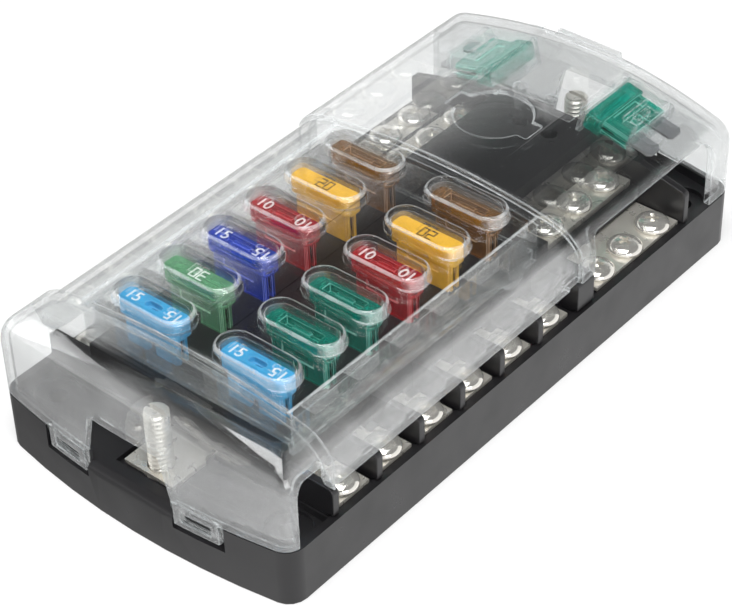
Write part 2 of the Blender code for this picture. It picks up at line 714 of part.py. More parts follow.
def catch(side, sign):
    """The small wedge in a notch that the cover's tab window snaps over."""
    x_middle = side * (EXIT_HALF_BOTTOM + TAB_OUTER_X) / 2
    x_half = TAB_WINDOW_LENGTH / 2 - 2 * GAP
    back = NOTCH_DEPTH - OVERCUT
    xs = np.linspace(x_middle - x_half, x_middle + x_half, 3)
    outer = [(x, face_y(x, sign, back - CATCH_DEPTH)) for x in xs]
    inner = [(x, face_y(x, sign, back + 0.0008)) for x in xs[::-1]]
    middle = window_middle_z()
    return plate("catch", np.array(outer + inner), middle - CATCH_HEIGHT / 2, middle + CATCH_HEIGHT / 2)


def window_middle_z():
    """Height of the middle of the window in each snap tab."""
    return COVER_BOTTOM_Z - TAB_DROP / 2


def bay_walls():
    """The walls between the cable bays, with a rounded outer top corner."""
    walls = []
    half = DIVIDER_THICKNESS / 2
    for side in (-1, 1):
        for index in range(ROWS):
            y = BAY_WALL_Y + index * ROW_PITCH
            outline = fin_outline(side, DIVIDER_TOP_Z, 0.0)
            walls.append(plate("divider", outline, y - half, y + half, "Y"))
        outline = fin_outline(side, FIN_TOP_Z, FIN_RISE)
        walls.append(plate("fin", outline, FIN_Y - half, FIN_Y + half, "Y"))
        outline = fin_outline(side, BLOCK_TOP_Z, 0.0)
        walls.append(plate("block", outline, BLOCK_START_Y, BLOCK_END_Y, "Y"))
    return walls


def fin_outline(side, top_z, rise):
    """An (x, z) outline from the platform out over the tray's rim, corner rounded."""
    inner = PLATFORM_HALF_WIDTH - OVERCUT
    outer = DIVIDER_OUTER_X
    rim_x = HALF_WIDTH - TRAY_WALL - GAP
    rim_z = TRAY_HEIGHT + GAP
    corner = arc((outer - DIVIDER_CORNER, top_z - DIVIDER_CORNER), DIVIDER_CORNER, 0.0, math.pi / 2, 3)
    foot = [(inner, CARRIER_BASE_Z), (rim_x, CARRIER_BASE_Z), (rim_x, rim_z), (outer, rim_z)]
    points = np.vstack([foot, corner, (inner, top_z + rise)])
    return points if side > 0 else (points * (-1, 1))[::-1]


def make_carrier(shop, black):
    """The upper moulding: fuse platform, bay walls and the far plateau."""
    half = PLATFORM_HALF_WIDTH
    base = CARRIER_BASE_Z
    carrier = box("carrier", (-half, CARRIER_FRONT_Y, base), (half, BLOCK_END_Y, PLATFORM_TOP_Z))
    tier_inner = INNER_TIER_X - INNER_TIER_HALF_WIDTH - GAP
    tier_outer = INNER_TIER_X + INNER_TIER_HALF_WIDTH + GAP
    tier_wall = tier_outer + CARRIER_WALL
    fin_end = FIN_Y + DIVIDER_THICKNESS / 2
    step_top = INNER_TIER_TOP_Z - SHEET
    pieces = [
        box("step", (-tier_wall, BLOCK_END_Y - OVERCUT, base), (tier_wall, fin_end, step_top)),
        box("plateau", (-tier_inner, BLOCK_END_Y - OVERCUT, base),
            (tier_inner, FAR_PLATEAU_END_Y, FAR_PLATEAU_TOP_Z)),
        box("shoulder", (-tier_wall, FIN_Y - DIVIDER_THICKNESS / 2, base),
            (tier_wall, fin_end, FAR_PLATEAU_TOP_Z)),
        *bay_walls(),
    ]
    shop.join(carrier, *pieces)
    low = base - OVERCUT
    room_half = half - CARRIER_WALL
    room_top = PLATFORM_TOP_Z - CARRIER_WALL
    room_start = CARRIER_FRONT_Y + CARRIER_WALL
    sheet_top = SHEET_TOP_Z + GAP
    far_tail = TIER_END_Y + GAP
    cuts = [
        box("room", (-room_half, room_start, low), (room_half, BLOCK_START_Y - GAP, room_top)),
        box("bus_way", (-BUS_STRIP_HALF_WIDTH - GAP, CARRIER_FRONT_Y - OVERCUT, low),
            (BUS_STRIP_HALF_WIDTH + GAP, room_start + OVERCUT, base + BUS_WAY_ROOM)),
        box("sheet_way", (-HALF_WIDTH, TIER_START_Y - GAP, low), (HALF_WIDTH, far_tail, sheet_top)),
        box("tail_way", (-STUD_PLATE_HALF - GAP, TIER_END_Y - OVERCUT, low),
            (STUD_PLATE_HALF + GAP, FAR_PLATEAU_END_Y + OVERCUT, sheet_top)),
        box("plateau_room", (-tier_inner + CARRIER_WALL, TIER_START_Y, low),
            (tier_inner - CARRIER_WALL, FIN_Y - 2 * CARRIER_WALL, FAR_PLATEAU_TOP_Z - PLATEAU_ROOF)),
    ]
    for side in (-1, 1):
        xs = sorted((side * tier_inner, side * tier_outer))
        cuts.append(box("tier_window", (xs[0], TIER_START_Y - GAP, low), (xs[1], far_tail, BEYOND)))
        cuts.append(cylinder("post_hole", (side * POST_X, POST_Y), POST_RADIUS + POST_HOLE_ROOM,
                             POST_BOTTOM_Z - GAP, FAR_PLATEAU_TOP_Z + OVERCUT, 12))
    shop.cut(carrier, *cuts)
    shop.cut(carrier, *terminal_ways(low), *blade_slots(room_top))
    return shop.finish(carrier, "fuse_carrier", black)


def terminal_ways(low):
    """Notches in the platform's side walls that the terminals pass through."""
    ways = []
    half_y = TERMINAL_TAIL_WIDTH / 2 + GAP
    for side in (-1, 1):
        inner_face = PLATFORM_HALF_WIDTH - CARRIER_WALL
        xs = sorted((side * (inner_face - OVERCUT), side * (PLATFORM_HALF_WIDTH + OVERCUT)))
        for row in range(ROWS):
            y = row_y(row)
            ways.append(box("way", (xs[0], y - half_y, low), (xs[1], y + half_y, SHEET_TOP_Z + GAP)))
    return ways


def blade_slots(room_top):
    """Slots in the platform's roof, two for each fuse."""
    slots = []
    half_x = BLADE_WIDTH / 2 + GAP
    half_y = BLADE_THICKNESS / 2 + GAP
    for column in (-COLUMN_X, COLUMN_X):
        for x in (column - BLADE_SPACING / 2, column + BLADE_SPACING / 2):
            for row in range(ROWS):
                y = row_y(row)
                slots.append(box("slot", (x - half_x, y - half_y, room_top - OVERCUT),
                                 (x + half_x, y + half_y, PLATFORM_TOP_Z + OVERCUT)))
    return slots


def clip_leaves(x, y, low):
    """The two spring leaves that grip a blade at (x, y)."""
    leaves = []
    half_x = BLADE_WIDTH / 2
    for sign in (-1, 1):
        ys = sorted((y + sign * CLIP_GAP, y + sign * (CLIP_GAP + CLIP_LEAF)))
        leaves.append(box("leaf", (x - half_x, ys[0], low), (x + half_x, ys[1], CLIP_TOP_Z)))
    return leaves


def make_load_terminal(shop):
    """A right-hand load terminal with its row's middle at y = 0."""
    clip_x = COLUMN_X + BLADE_SPACING / 2
    tail = TERMINAL_TAIL_WIDTH / 2
    tab = TERMINAL_TAB_WIDTH / 2
    tail_start = clip_x - BLADE_WIDTH / 2
    outline = np.array([
        (tail_start, -tail), (TERMINAL_TAB_INNER_X, -tail), (TERMINAL_TAB_INNER_X, -tab),
        (TERMINAL_OUTER_X, -tab), (TERMINAL_OUTER_X, tab), (TERMINAL_TAB_INNER_X, tab),
        (TERMINAL_TAB_INNER_X, tail), (tail_start, tail),
    ])
    hole = arc((SCREW_X, 0.0), SHANK_CLEARANCE, 0.0, 2 * math.pi, 6)[:-1]
    terminal = plate("terminal", outline, SHEET_Z, SHEET_TOP_Z, holes=[hole])
    return shop.join(terminal, *clip_leaves(clip_x, 0.0, SHEET_TOP_Z - 0.0004))


def make_screw(shop):
    """A pan-head screw standing on z = 0 with a cross recess in its head."""
    head, rise = SCREW_HEAD_RADIUS, SCREW_HEAD_HEIGHT
    shank, end = SCREW_SHANK_RADIUS, -SCREW_SHANK_LENGTH
    profile = [
        (0.0, rise), (0.62 * head, rise), (0.88 * head, 0.74 * rise), (head, 0.34 * rise),
        (head, 0.0), (shank, 0.0), (shank, end), (0.0, end),
    ]
    screw = turned("screw", profile, SCREW_SIDES)
    drive = []
    cross = (SCREW_DRIVE_LENGTH, SCREW_DRIVE_WIDTH)
    for length, width in (cross, cross[::-1]):
        drive.append(box("drive", (-length / 2, -width / 2, rise - SCREW_DRIVE_DEPTH),
                         (length / 2, width / 2, rise + OVERCUT)))
    shop.join(drive[0], drive[1])
    shop.cut(screw, drive[0])
    return screw


def turned(name, profile, steps):
    """A profile of (radius, z) points swept round Z with a Screw modifier."""
    mesh = bpy.data.meshes.new(name)
    points = [(radius, 0.0, z) for radius, z in profile]
    mesh.from_pydata(points, [(i, i + 1) for i in range(len(points) - 1)], [])
    obj = bpy.data.objects.new(name, mesh)
    sweep = obj.modifiers.new("Screw", "SCREW")
    sweep.steps = steps
    sweep.render_steps = steps
    sweep.use_merge_vertices = True
    sweep.merge_threshold = 1e-5
    bpy.context.scene.collection.objects.link(obj)
    graph = bpy.context.evaluated_depsgraph_get()
    solid = bpy.data.meshes.new_from_object(obj.evaluated_get(graph))
    bpy.context.scene.collection.objects.unlink(obj)
    obj.modifiers.clear()
    obj.data = solid
    return obj


def make_stud(shop, sign):
    """A stud with a slotted top, and the hexagon head that sits under its plate."""
    y = sign * STUD_Y
    head_top = BUS_Z - GAP
    head_low = head_top - STUD_HEAD_HEIGHT
    stud = cylinder("stud", (0, y), STUD_RADIUS, head_top - STUD_HEAD_HEIGHT / 2, STUD_TOP_Z)
    head = cylinder("head", (0, y), STUD_HEAD_FLATS / math.sqrt(3), head_low, head_top, 6, math.pi / 6)
    shop.join(stud, head)
    reach = STUD_RADIUS + OVERCUT
    slot = box("stud_slot", (-reach, y - STUD_SLOT_WIDTH / 2, STUD_TOP_Z - STUD_SLOT_DEPTH),
               (reach, y + STUD_SLOT_WIDTH / 2, STUD_TOP_Z + OVERCUT))
    return shop.cut(stud, slot)


def make_positive_bus(shop):
    """The strip from the positive stud under both columns, with its clips."""
    half = BUS_STRIP_HALF_WIDTH
    clip_x = COLUMN_X - BLADE_SPACING / 2
    lug = TERMINAL_TAIL_WIDTH / 2
    lug_x = clip_x + BLADE_WIDTH / 2
    pad = STUD_PLATE_HALF
    front = CARRIER_FRONT_Y - OVERCUT
    right = [(pad, -STUD_Y - STUD_PLATE_REACH), (pad, front - (pad - half)), (half, front)]
    for row in range(ROWS):
        y = row_y(row)
        right += [(half, y - lug), (lug_x, y - lug), (lug_x, y + lug), (half, y + lug)]
    right = np.array(right[:-1])
    outline = np.vstack([right, right[::-1] * (-1, 1)])
    hole = arc((0.0, -STUD_Y), STUD_RADIUS + GAP, 0.0, 2 * math.pi, 12)[:-1]
    bus = plate("bus", outline, BUS_Z, BUS_TOP_Z, holes=[hole])
    leaves = []
    for side in (-1, 1):
        for row in range(ROWS):
            leaves += clip_leaves(side * clip_x, row_y(row), BUS_TOP_Z - 0.0004)
    return shop.join(bus, *leaves)


def make_negative_bus(shop, screw):
    """One folded sheet with two tiers each side, its tail and its screws.

    From the middle the section runs flat, up to the inner tier, down again
    and out to the outer tier, all of one sheet thickness.
    """
    tier_in = INNER_TIER_X - INNER_TIER_HALF_WIDTH
    tier_out = INNER_TIER_X + INNER_TIER_HALF_WIDTH
    low, top, high = SHEET_Z, SHEET_TOP_Z, INNER_TIER_TOP_Z
    upper = [(TERMINAL_OUTER_X, top), (tier_out, top), (tier_out, high), (tier_in, high), (tier_in, top)]
    lower = [(TERMINAL_OUTER_X, low), (tier_out - SHEET, low), (tier_out - SHEET, high - SHEET),
             (tier_in + SHEET, high - SHEET), (tier_in + SHEET, low)]
    upper, lower = np.array(upper), np.array(lower)
    outline = np.vstack([upper, upper[::-1] * (-1, 1), lower * (-1, 1), lower[::-1]])
    bus = plate("bus", outline, TIER_START_Y, TIER_END_Y, "Y")
    pad = STUD_PLATE_HALF
    plate_end = STUD_Y + STUD_PLATE_REACH
    drop_start, drop_end = TIER_END_Y - OVERCUT, STUD_Y - TAIL_FOOT_TO_STUD
    ramp = drop_end - TAIL_RAMP
    side_view = np.array([
        (drop_start, SHEET_Z + 0.0002), (ramp, SHEET_Z), (drop_end, BUS_Z), (plate_end, BUS_Z),
        (plate_end, BUS_TOP_Z), (drop_end + 0.0003, BUS_TOP_Z), (ramp + 0.0003, SHEET_TOP_Z),
        (drop_start, SHEET_TOP_Z - 0.0002),
    ])
    tail = plate("tail", side_view, -pad, pad, "X")
    screws = []
    for side in (-1, 1):
        for y in tier_screw_ys():
            for x, z in ((SCREW_X, SHEET_TOP_Z), (INNER_TIER_X, INNER_TIER_TOP_Z)):
                twin = bpy.data.objects.new("bus_screw", screw.data.copy())
                turn = math.radians(35) * (1 + side) + y * 90
                place = Matrix.Translation((side * x, y, z - 0.00005)) @ Matrix.Rotation(turn, 4, "Z")
                twin.data.transform(place)
                screws.append(twin)
    shop.join(bus, tail, *screws)
    shop.cut(bus, cylinder("stud_hole", (0, STUD_Y), STUD_RADIUS + GAP, 0.0, BEYOND, 12))
    return bus


def make_fuse_body(shop):
    """A blade fuse's plastic body, standing on z = 0 with its head on top."""
    half_x, half_y = FUSE_LENGTH / 2, FUSE_WIDTH / 2
    head_low = FUSE_HEIGHT - FUSE_HEAD_HEIGHT
    body = plate("body", rounded_rectangle(-half_x, half_x, -half_y, half_y, FUSE_HEAD_RADIUS, 2),
                 head_low, FUSE_HEIGHT)
    neck_x, neck_y = FUSE_NECK_LENGTH / 2, FUSE_NECK_WIDTH / 2
    leg = FUSE_LEG_GAP / 2
    front = np.array([
        (-neck_x, 0.0), (-leg, 0.0), (-leg, FUSE_LEG_HEIGHT), (leg, FUSE_LEG_HEIGHT), (leg, 0.0),
        (neck_x, 0.0), (neck_x, head_low + 0.0005), (-neck_x, head_low + 0.0005),
    ])
    neck = plate("neck", front, -neck_y, neck_y, "Y")
    shop.join(body, neck)
    room_x = BLADE_SPACING / 2 + BLADE_WIDTH / 2 + GAP
    room_y = BLADE_THICKNESS / 2 + GAP
    room_top = BLADE_TOP + GAP
    slot = (FUSE_SLOT_LENGTH / 2, FUSE_SLOT_WIDTH / 2)
    cuts = [
        box("room", (-room_x, -room_y, -OVERCUT), (room_x, room_y, room_top)),
        box("slot", (-slot[0], -slot[1], FUSE_HEIGHT - FUSE_SLOT_DEPTH), (*slot, FUSE_HEIGHT + OVERCUT)),
    ]
    return shop.cut(body, *cuts)


def make_fuse_element():
    """The stamped metal of a fuse: two blades joined by a thin bridge."""
    inner = BLADE_SPACING / 2 - BLADE_WIDTH / 2
    outer = BLADE_SPACING / 2 + BLADE_WIDTH / 2
    cut = BLADE_CHAMFER
    right = np.array([
        (inner, BLADE_TOP - LINK_WIDTH), (inner, -BLADE_LENGTH + cut), (inner + cut, -BLADE_LENGTH),
        (outer - cut, -BLADE_LENGTH), (outer, -BLADE_LENGTH + cut), (outer, BLADE_TOP),
    ])
    outline = np.vstack([right, right[::-1] * (-1, 1)])
    half = BLADE_THICKNESS / 2
    return plate("element", outline, -half, half, "Y")


def middle_section():
    """The inset middle of the cover: one section drawn in (x, z), along Y."""
    angles = np.linspace(0.0, math.pi / 2, SHOULDER_STEPS + 1)

    def half_section(inset, step):
        """Right half of the section's outer or inner line, bottom to top."""
        half = HALF_WIDTH - inset
        x = half - SHOULDER * (1 - np.cos(angles))
        z = SHOULDER_Z + (crown(x) - inset - SHOULDER_Z) * np.sin(angles)
        side = np.vstack([(half, MIDDLE_BOTTOM_Z), np.c_[x, z]])
        rim = PANEL_HALF_WIDTH
        across = np.linspace(rim, 0.0, 4)
        panel = np.c_[across, crown(across) - inset - step]
        if step:
            lip = (rim + step, crown(rim) - inset)
            panel = np.vstack([lip, panel])
        return np.vstack([side, panel])

    outer = half_section(MIDDLE_INSET, PANEL_STEP)
    inner = half_section(MIDDLE_INSET + COVER_WALL, 0.0)
    outer = np.vstack([outer, outer[::-1][1:] * (-1, 1)])
    inner = np.vstack([inner, inner[::-1][1:] * (-1, 1)])
    start, end = FRONT_SECTION_END_Y - SECTION_LAP, FAR_SECTION_START_Y + SECTION_LAP
    return plate("middle", np.vstack([outer, inner[::-1]]), start, end, "Y")


def end_section(shop, sign):
    """One end of the cover: the pillow shell beyond its inner edge."""
    edge = FRONT_SECTION_END_Y if sign < 0 else FAR_SECTION_START_Y
    shell = pillow("end", 0.0, COVER_BOTTOM_Z)
    shop.cut(shell, pillow("hollow", COVER_WALL, COVER_BOTTOM_Z - OVERCUT))
    ys = sorted((edge, sign * (HALF_LENGTH + OVERCUT)))
    return shop.keep(shell, box("slab", (-BEYOND, ys[0], 0.0), (BEYOND, ys[1], BEYOND)))


def crowned_wall(name, half, bottom_z, low_y, high_y, inset):
    """A wall across the box whose top follows the roof, inset below it."""
    across = np.linspace(half, -half, 9)
    top = np.c_[across, crown(across) - inset]
    outline = np.vstack([(-half, bottom_z), (half, bottom_z), top])
    return plate(name, outline, low_y, high_y, "Y")


def inner_skirt():
    """The four walls that hang from the panel's edge, and two tongues."""
    inner_x = SKIRT_INNER_X
    outer_x = inner_x + SKIRT_WALL
    buried = MIDDLE_INSET + PANEL_STEP + SKIRT_BURIED
    front = FRONT_SECTION_END_Y + 0.0008
    far = FAR_SECTION_START_Y - 0.0009
    walls = [
        crowned_wall("skirt_front", inner_x + 0.0005, SKIRT_END_BOTTOM_Z, front, front + SKIRT_WALL, buried),
        crowned_wall("skirt_far", inner_x + 0.0005, SKIRT_END_BOTTOM_Z, far - SKIRT_WALL, far, buried),
    ]
    top = crown(outer_x) - buried
    tongue_y = row_y(ROWS - 1) - TONGUE_OFF_ROW
    drop = arc((tongue_y, TONGUE_BOTTOM_Z + TONGUE_HALF_WIDTH), TONGUE_HALF_WIDTH, math.pi, 2 * math.pi, 6)
    outline = np.vstack([
        (front, top), (front, SKIRT_SIDE_BOTTOM_Z),
        (drop[0][0], SKIRT_SIDE_BOTTOM_Z), drop[1:-1], (drop[-1][0], SKIRT_SIDE_BOTTOM_Z),
        (far, SKIRT_SIDE_BOTTOM_Z), (far, top),
    ])
    for side in (-1, 1):
        xs = sorted((side * inner_x, side * outer_x))
        walls.append(plate("skirt_side", outline, xs[0], xs[1], "X"))
    return walls


def bump_places():
    """Middle of the raised window over each fuse."""
    return [(column, row_y(row)) for column in (-COLUMN_X, COLUMN_X) for row in range(ROWS)]


def side_openings():
    """Cutters for the open sides of the cover's two end sections."""
    cutters = []
    radius = OPENING_CORNER
    low = COVER_BOTTOM_Z - OVERCUT
    lip_y = FRONT_SECTION_END_Y - FRONT_LIP
    small = radius / 3
    front = np.vstack([
        (LEG_FRONT_Y, low),
        arc((LEG_FRONT_Y + radius, SIDE_OPENING_TOP_Z - radius), radius, math.pi, math.pi / 2, 3),
        arc((lip_y - small, SIDE_OPENING_TOP_Z - small), small, math.pi / 2, 0.0, 2),
        (FRONT_SECTION_END_Y - 0.0006, MIDDLE_BOTTOM_Z + 0.0008),
        (FRONT_SECTION_END_Y + 0.003, MIDDLE_BOTTOM_Z),
        (FRONT_SECTION_END_Y + 0.003, low),
    ])
    start = BLOCK_END_Y - OVERCUT
    far = np.vstack([
        (FAR_SECTION_START_Y - 0.003, low),
        (FAR_SECTION_START_Y - 0.003, BLOCK_TOP_Z + GAP),
        (start, BLOCK_TOP_Z + 2 * GAP),
        arc((start + radius, FAR_OPENING_TOP_Z - radius), radius, math.pi, math.pi / 2, 3),
        arc((FAR_LEG_Y - radius, FAR_OPENING_TOP_Z - radius), radius, math.pi / 2, 0.0, 3),
        (FAR_LEG_Y + 0.003, low),
    ])
    for side in (-1, 1):
        xs = sorted((side * (HALF_WIDTH - LEG_THICKNESS), side * (HALF_WIDTH + OVERCUT)))
        for outline in (front, far):
            cutters.append(plate("side_opening", outline, xs[0], xs[1], "X"))
    return cutters


def exit_cut(sign):
    """The tall opening over a stud in an end face, narrower at its top."""
    outline = np.array([
        (-EXIT_HALF_BOTTOM, COVER_BOTTOM_Z - OVERCUT), (EXIT_HALF_BOTTOM, COVER_BOTTOM_Z - OVERCUT),
        (EXIT_HALF_TOP, EXIT_TOP_Z), (-EXIT_HALF_TOP, EXIT_TOP_Z),
    ])
    ys = sorted((sign * (HALF_LENGTH - FACE_DEPTH), sign * (HALF_LENGTH + OVERCUT)))
    return plate("exit", outline, ys[0], ys[1], "Y")


def tabs():
    """The four snap tabs that hang from the cover's two end faces."""
    pieces, windows = [], []
    for sign in (-1, 1):
        for side in (-1, 1):
            low = COVER_BOTTOM_Z - TAB_DROP
            pieces.append(tab_prism("tab", side, sign, TAB_WALL, 0.0, low, COVER_BOTTOM_Z + OVERCUT))
            x = side * (EXIT_HALF_BOTTOM + TAB_OUTER_X) / 2
            z = window_middle_z()
            ys = sorted((sign * (HALF_LENGTH - FACE_DEPTH), sign * (HALF_LENGTH + OVERCUT)))
            windows.append(box("window", (x - TAB_WINDOW_LENGTH / 2, ys[0], z - TAB_WINDOW_HEIGHT / 2),
                               (x + TAB_WINDOW_LENGTH / 2, ys[1], z + TAB_WINDOW_HEIGHT / 2)))
    return pieces, windows


def spare_frame(side):
    """Where a spare fuse lies: head inwards, blades out and a little down.

    It takes the fuse's own axes, x along its length and z towards its head,
    to its place under the roof.
    """
    lean = Matrix.Rotation(SPARE_TILT - math.pi / 2, 4, "Y") @ Matrix.Rotation(math.pi / 2, 4, "Z")
    out = SPARE_HEAD_X + FUSE_HEIGHT * math.cos(SPARE_TILT)
    up = SPARE_HEAD_Z - FUSE_HEIGHT * math.sin(SPARE_TILT)
    turn = Matrix.Rotation(math.pi if side < 0 else 0.0, 4, "Z")
    return turn @ Matrix.Translation((out, side * SPARE_Y, up)) @ lean


def spare_holders():
    """Ribs, saddles and blade bars under the far roof that hold the spares.

    Each is drawn on the fuse's own axes, where -y is up to the roof.
    """
    pieces, slots = [], []
    half = FUSE_LENGTH / 2
    head = FUSE_HEIGHT + GAP
    under = FUSE_WIDTH / 2 + GAP
    over = FUSE_NECK_WIDTH / 2 + GAP
    ring = SADDLE_LENGTH / 2
    hole = ring - 2 * SADDLE_WALL
    for side in (-1, 1):
        frame = spare_frame(side)
        shapes = [
            box("rib", (-half, -0.0036, head), (half, under + SPARE_RIB, head + SPARE_RIB)),
            box("lip", (-half / 2, under, head - SPARE_LIP),
                (half / 2, under + SPARE_RIB - GAP / 3, head + 0.0005)),
            box("bar", (-half, -SPARE_BAR_ABOVE, -GAP - SPARE_RIB), (half, SPARE_BAR_BELOW, -GAP)),
            box("saddle", (-ring, -0.0050, -GAP - 0.0005), (ring, -over, SADDLE_WIDTH)),
        ]
        cuts = [box("saddle_hole", (-hole, -0.0038, SADDLE_WALL), (hole, 0.0, SADDLE_WIDTH - SADDLE_WALL))]
        for x in (-BLADE_SPACING / 2, BLADE_SPACING / 2):
            reach, thick = BLADE_WIDTH / 2 + GAP, BLADE_THICKNESS / 2 + GAP
            cuts.append(box("blade_slot", (x - reach, -thick, -GAP - 2 * SPARE_RIB),
                            (x + reach, thick, 0.0)))
        for shape in shapes + cuts:
            shape.data.transform(frame)
        pieces += shapes
        slots += cuts
    return pieces, slots


def roof_window():
    """The shallow sloped recess over the negative stud, its pad and its grip.

    The pad thickens the roof from below, and the grip is the low bar across
    the recess's far end.
    """
    outer = WINDOW_HALF_WIDTH + WINDOW_SLOPE
    end = GRIP_START_Y + 0.0008
    pad = box("pad", (-outer, WINDOW_START_Y - WINDOW_SLOPE, WINDOW_FLOOR_Z - WINDOW_PAD),
              (outer, end, WINDOW_FLOOR_Z + 0.0003))
    grip_plan = rounded_rectangle(-GRIP_HALF_WIDTH, GRIP_HALF_WIDTH, GRIP_START_Y,
                                  GRIP_START_Y + GRIP_THICKNESS, GRIP_THICKNESS * 0.4, 2)
    grip = plate("grip", grip_plan, WINDOW_FLOOR_Z - GRIP_ROOT, GRIP_TOP_Z)
    rise = 0.0020
    corners = [(x, y, z) for z, grow in ((WINDOW_FLOOR_Z, 0.0), (WINDOW_FLOOR_Z + rise, WINDOW_SLOPE * 2))
               for x, y in rectangle(-WINDOW_HALF_WIDTH - grow, WINDOW_HALF_WIDTH + grow,
                                     WINDOW_START_Y - grow, GRIP_START_Y)]
    sides = [(k, (k + 1) % 4, 4 + (k + 1) % 4, 4 + k) for k in range(4)]
    recess = mesh_object("recess", corners, [(3, 2, 1, 0), (4, 5, 6, 7), *sides])
    return pad, grip, recess


def medallion():
    """The shallow round recess with two ears in the far roof."""
    low, high = MEDALLION_FLOOR_Z, COVER_TOP_Z + OVERCUT
    disc = cylinder("disc", (0, MEDALLION_Y), MEDALLION_RADIUS, low, high)
    half_x, half_y = MEDALLION_BAR_LENGTH / 2, MEDALLION_BAR_WIDTH / 2
    bar = box("ears", (-half_x, MEDALLION_Y - half_y, low), (half_x, MEDALLION_Y + half_y, high + OVERCUT))
    return disc, bar


def make_cover(shop, clear):
    """The clear cover as one moulding."""
    cover = middle_section()
    shop.join(cover, end_section(shop, -1), end_section(shop, 1))
    pad, grip, recess = roof_window()
    bumps = [plate("bump", stadium(at, BUMP_LENGTH, BUMP_WIDTH, BUMP_STEPS),
                   BUMP_TOP_Z - BUMP_SINK, BUMP_TOP_Z) for at in bump_places()]
    shop.join(cover, pad, *bumps)
    shop.cut(cover, recess)
    shop.join(cover, grip)
    hollow = 2 * BUMP_WALL
    rooms = [plate("bump_room", stadium(at, BUMP_LENGTH - hollow, BUMP_WIDTH - hollow, BUMP_STEPS),
                   BUMP_TOP_Z - BUMP_ROOM_SINK, BUMP_ROOM_TOP_Z) for at in bump_places()]
    shop.cut(cover, *rooms)
    shop.cut(cover, *side_openings(), exit_cut(-1), exit_cut(1), *medallion())
    tab_pieces, windows = tabs()
    holder_pieces, slots = spare_holders()
    post_top = crown(POST_X) - COVER_WALL + SKIRT_BURIED
    posts = [cylinder("post", (side * POST_X, POST_Y), POST_RADIUS, POST_BOTTOM_Z, post_top, 8)
             for side in (-1, 1)]
    shop.join(cover, *inner_skirt())
    shop.join(cover, *tab_pieces, *holder_pieces, *posts)
    shop.cut(cover, *windows, *slots)
    return shop.finish(cover, "clear_cover", clear, 30)


def build():
    """Builds every piece of the fuse box."""
    clear_scene()
    shop = Workshop()
    black = make_material("black_plastic", (0.020, 0.020, 0.022), 0.42)
    clear = make_material("clear_plastic", (0.93, 0.95, 0.96), 0.05, alpha=0.3)
    nickel = make_material("nickel_plate", (0.72, 0.70, 0.66), 0.24, metallic=1.0)
    zinc = make_material("fuse_zinc", (0.62, 0.63, 0.65), 0.35, metallic=1.0)
    colours = {
        "light_blue": (0.07, 0.36, 0.80),
        "green": (0.13, 0.50, 0.20),
        "dark_blue": (0.02, 0.06, 0.50),
        "red": (0.55, 0.02, 0.03),
        "yellow": (0.90, 0.52, 0.03),
        "brown": (0.22, 0.11, 0.03),
        "teal": (0.01, 0.35, 0.26),
    }
    plastics = {name: make_material("fuse_" + name, rgb, 0.25) for name, rgb in colours.items()}
    make_tray(shop, black)
    make_carrier(shop, black)
    make_cover(shop, clear)
    shop.finish(make_positive_bus(shop), "positive_bus", nickel)
    shop.finish(make_stud(shop, -1), "positive_stud", nickel, 40)
    shop.finish(make_stud(shop, 1), "negative_stud", nickel, 40)

    screw = make_screw(shop)
    shop.finish(make_negative_bus(shop, screw), "negative_bus", nickel, 40)
    terminal = make_load_terminal(shop)
    body = make_fuse_body(shop)
    element = make_fuse_element()
    for master in (screw, terminal, body, element):
        tidy(master)
    left = ("light_blue", "green", "dark_blue", "red", "yellow", "brown")
    right = ("light_blue", "teal", "teal", "red", "yellow", "brown")
    for side, label, order in ((-1, "left", left), (1, "right", right)):
        for row in range(ROWS):
            tag = f"{label}_{row + 1}"
            y = row_y(row)
            stand = Matrix.Translation((side * COLUMN_X, y, FUSE_BASE_Z))
            shop.copy_of(body, f"fuse_body_{tag}", plastics[order[row]], stand)
            shop.copy_of(element, f"fuse_element_{tag}", zinc, stand)
            turn = Matrix.Rotation(math.pi if side < 0 else 0.0, 4, "Z")
            shop.copy_of(terminal, f"load_terminal_{tag}", nickel, Matrix.Translation((0, y, 0)) @ turn)
            spin = Matrix.Rotation(math.radians(20 + 37 * row + 50 * side), 4, "Z")
            seat = Matrix.Translation((side * SCREW_X, y, SHEET_TOP_Z + GAP)) @ spin
            shop.copy_of(screw, f"load_screw_{tag}", nickel, seat)
        lying = spare_frame(side)
        shop.copy_of(body, f"spare_fuse_body_{label}", plastics["teal"], lying)
        shop.copy_of(element, f"spare_fuse_element_{label}", zinc, lying)


def tidy(obj):
    """Merges stray points and flat faces on a master that will be copied."""
    graph = bmesh.new()
    graph.from_mesh(obj.data)
    bmesh.ops.remove_doubles(graph, verts=graph.verts, dist=2e-7)
    bmesh.ops.dissolve_limit(graph, angle_limit=math.radians(0.05), verts=graph.verts, edges=graph.edges)
    graph.to_mesh(obj.data)
    graph.free()
    obj.data.shade_smooth()
    obj.data.set_sharp_from_angle(angle=math.radians(40))


build()
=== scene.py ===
"""Blender scene of a twelve-way blade fuse box under its clear lift-off cover.

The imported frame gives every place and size. Each class below is one
sub-assembly: it works its surfaces out as whole numpy arrays, joins and cuts
them where the real piece is joined or cut, and dresses them in a finish named
for the real material. Lengths are metres and +Z is up.
"""

import sys
import logging
import math
from dataclasses import dataclass, field
from enum import Enum
from typing import Any, Sequence

import bmesh
import bpy
import numpy as np
from mathutils import Matrix, Vector


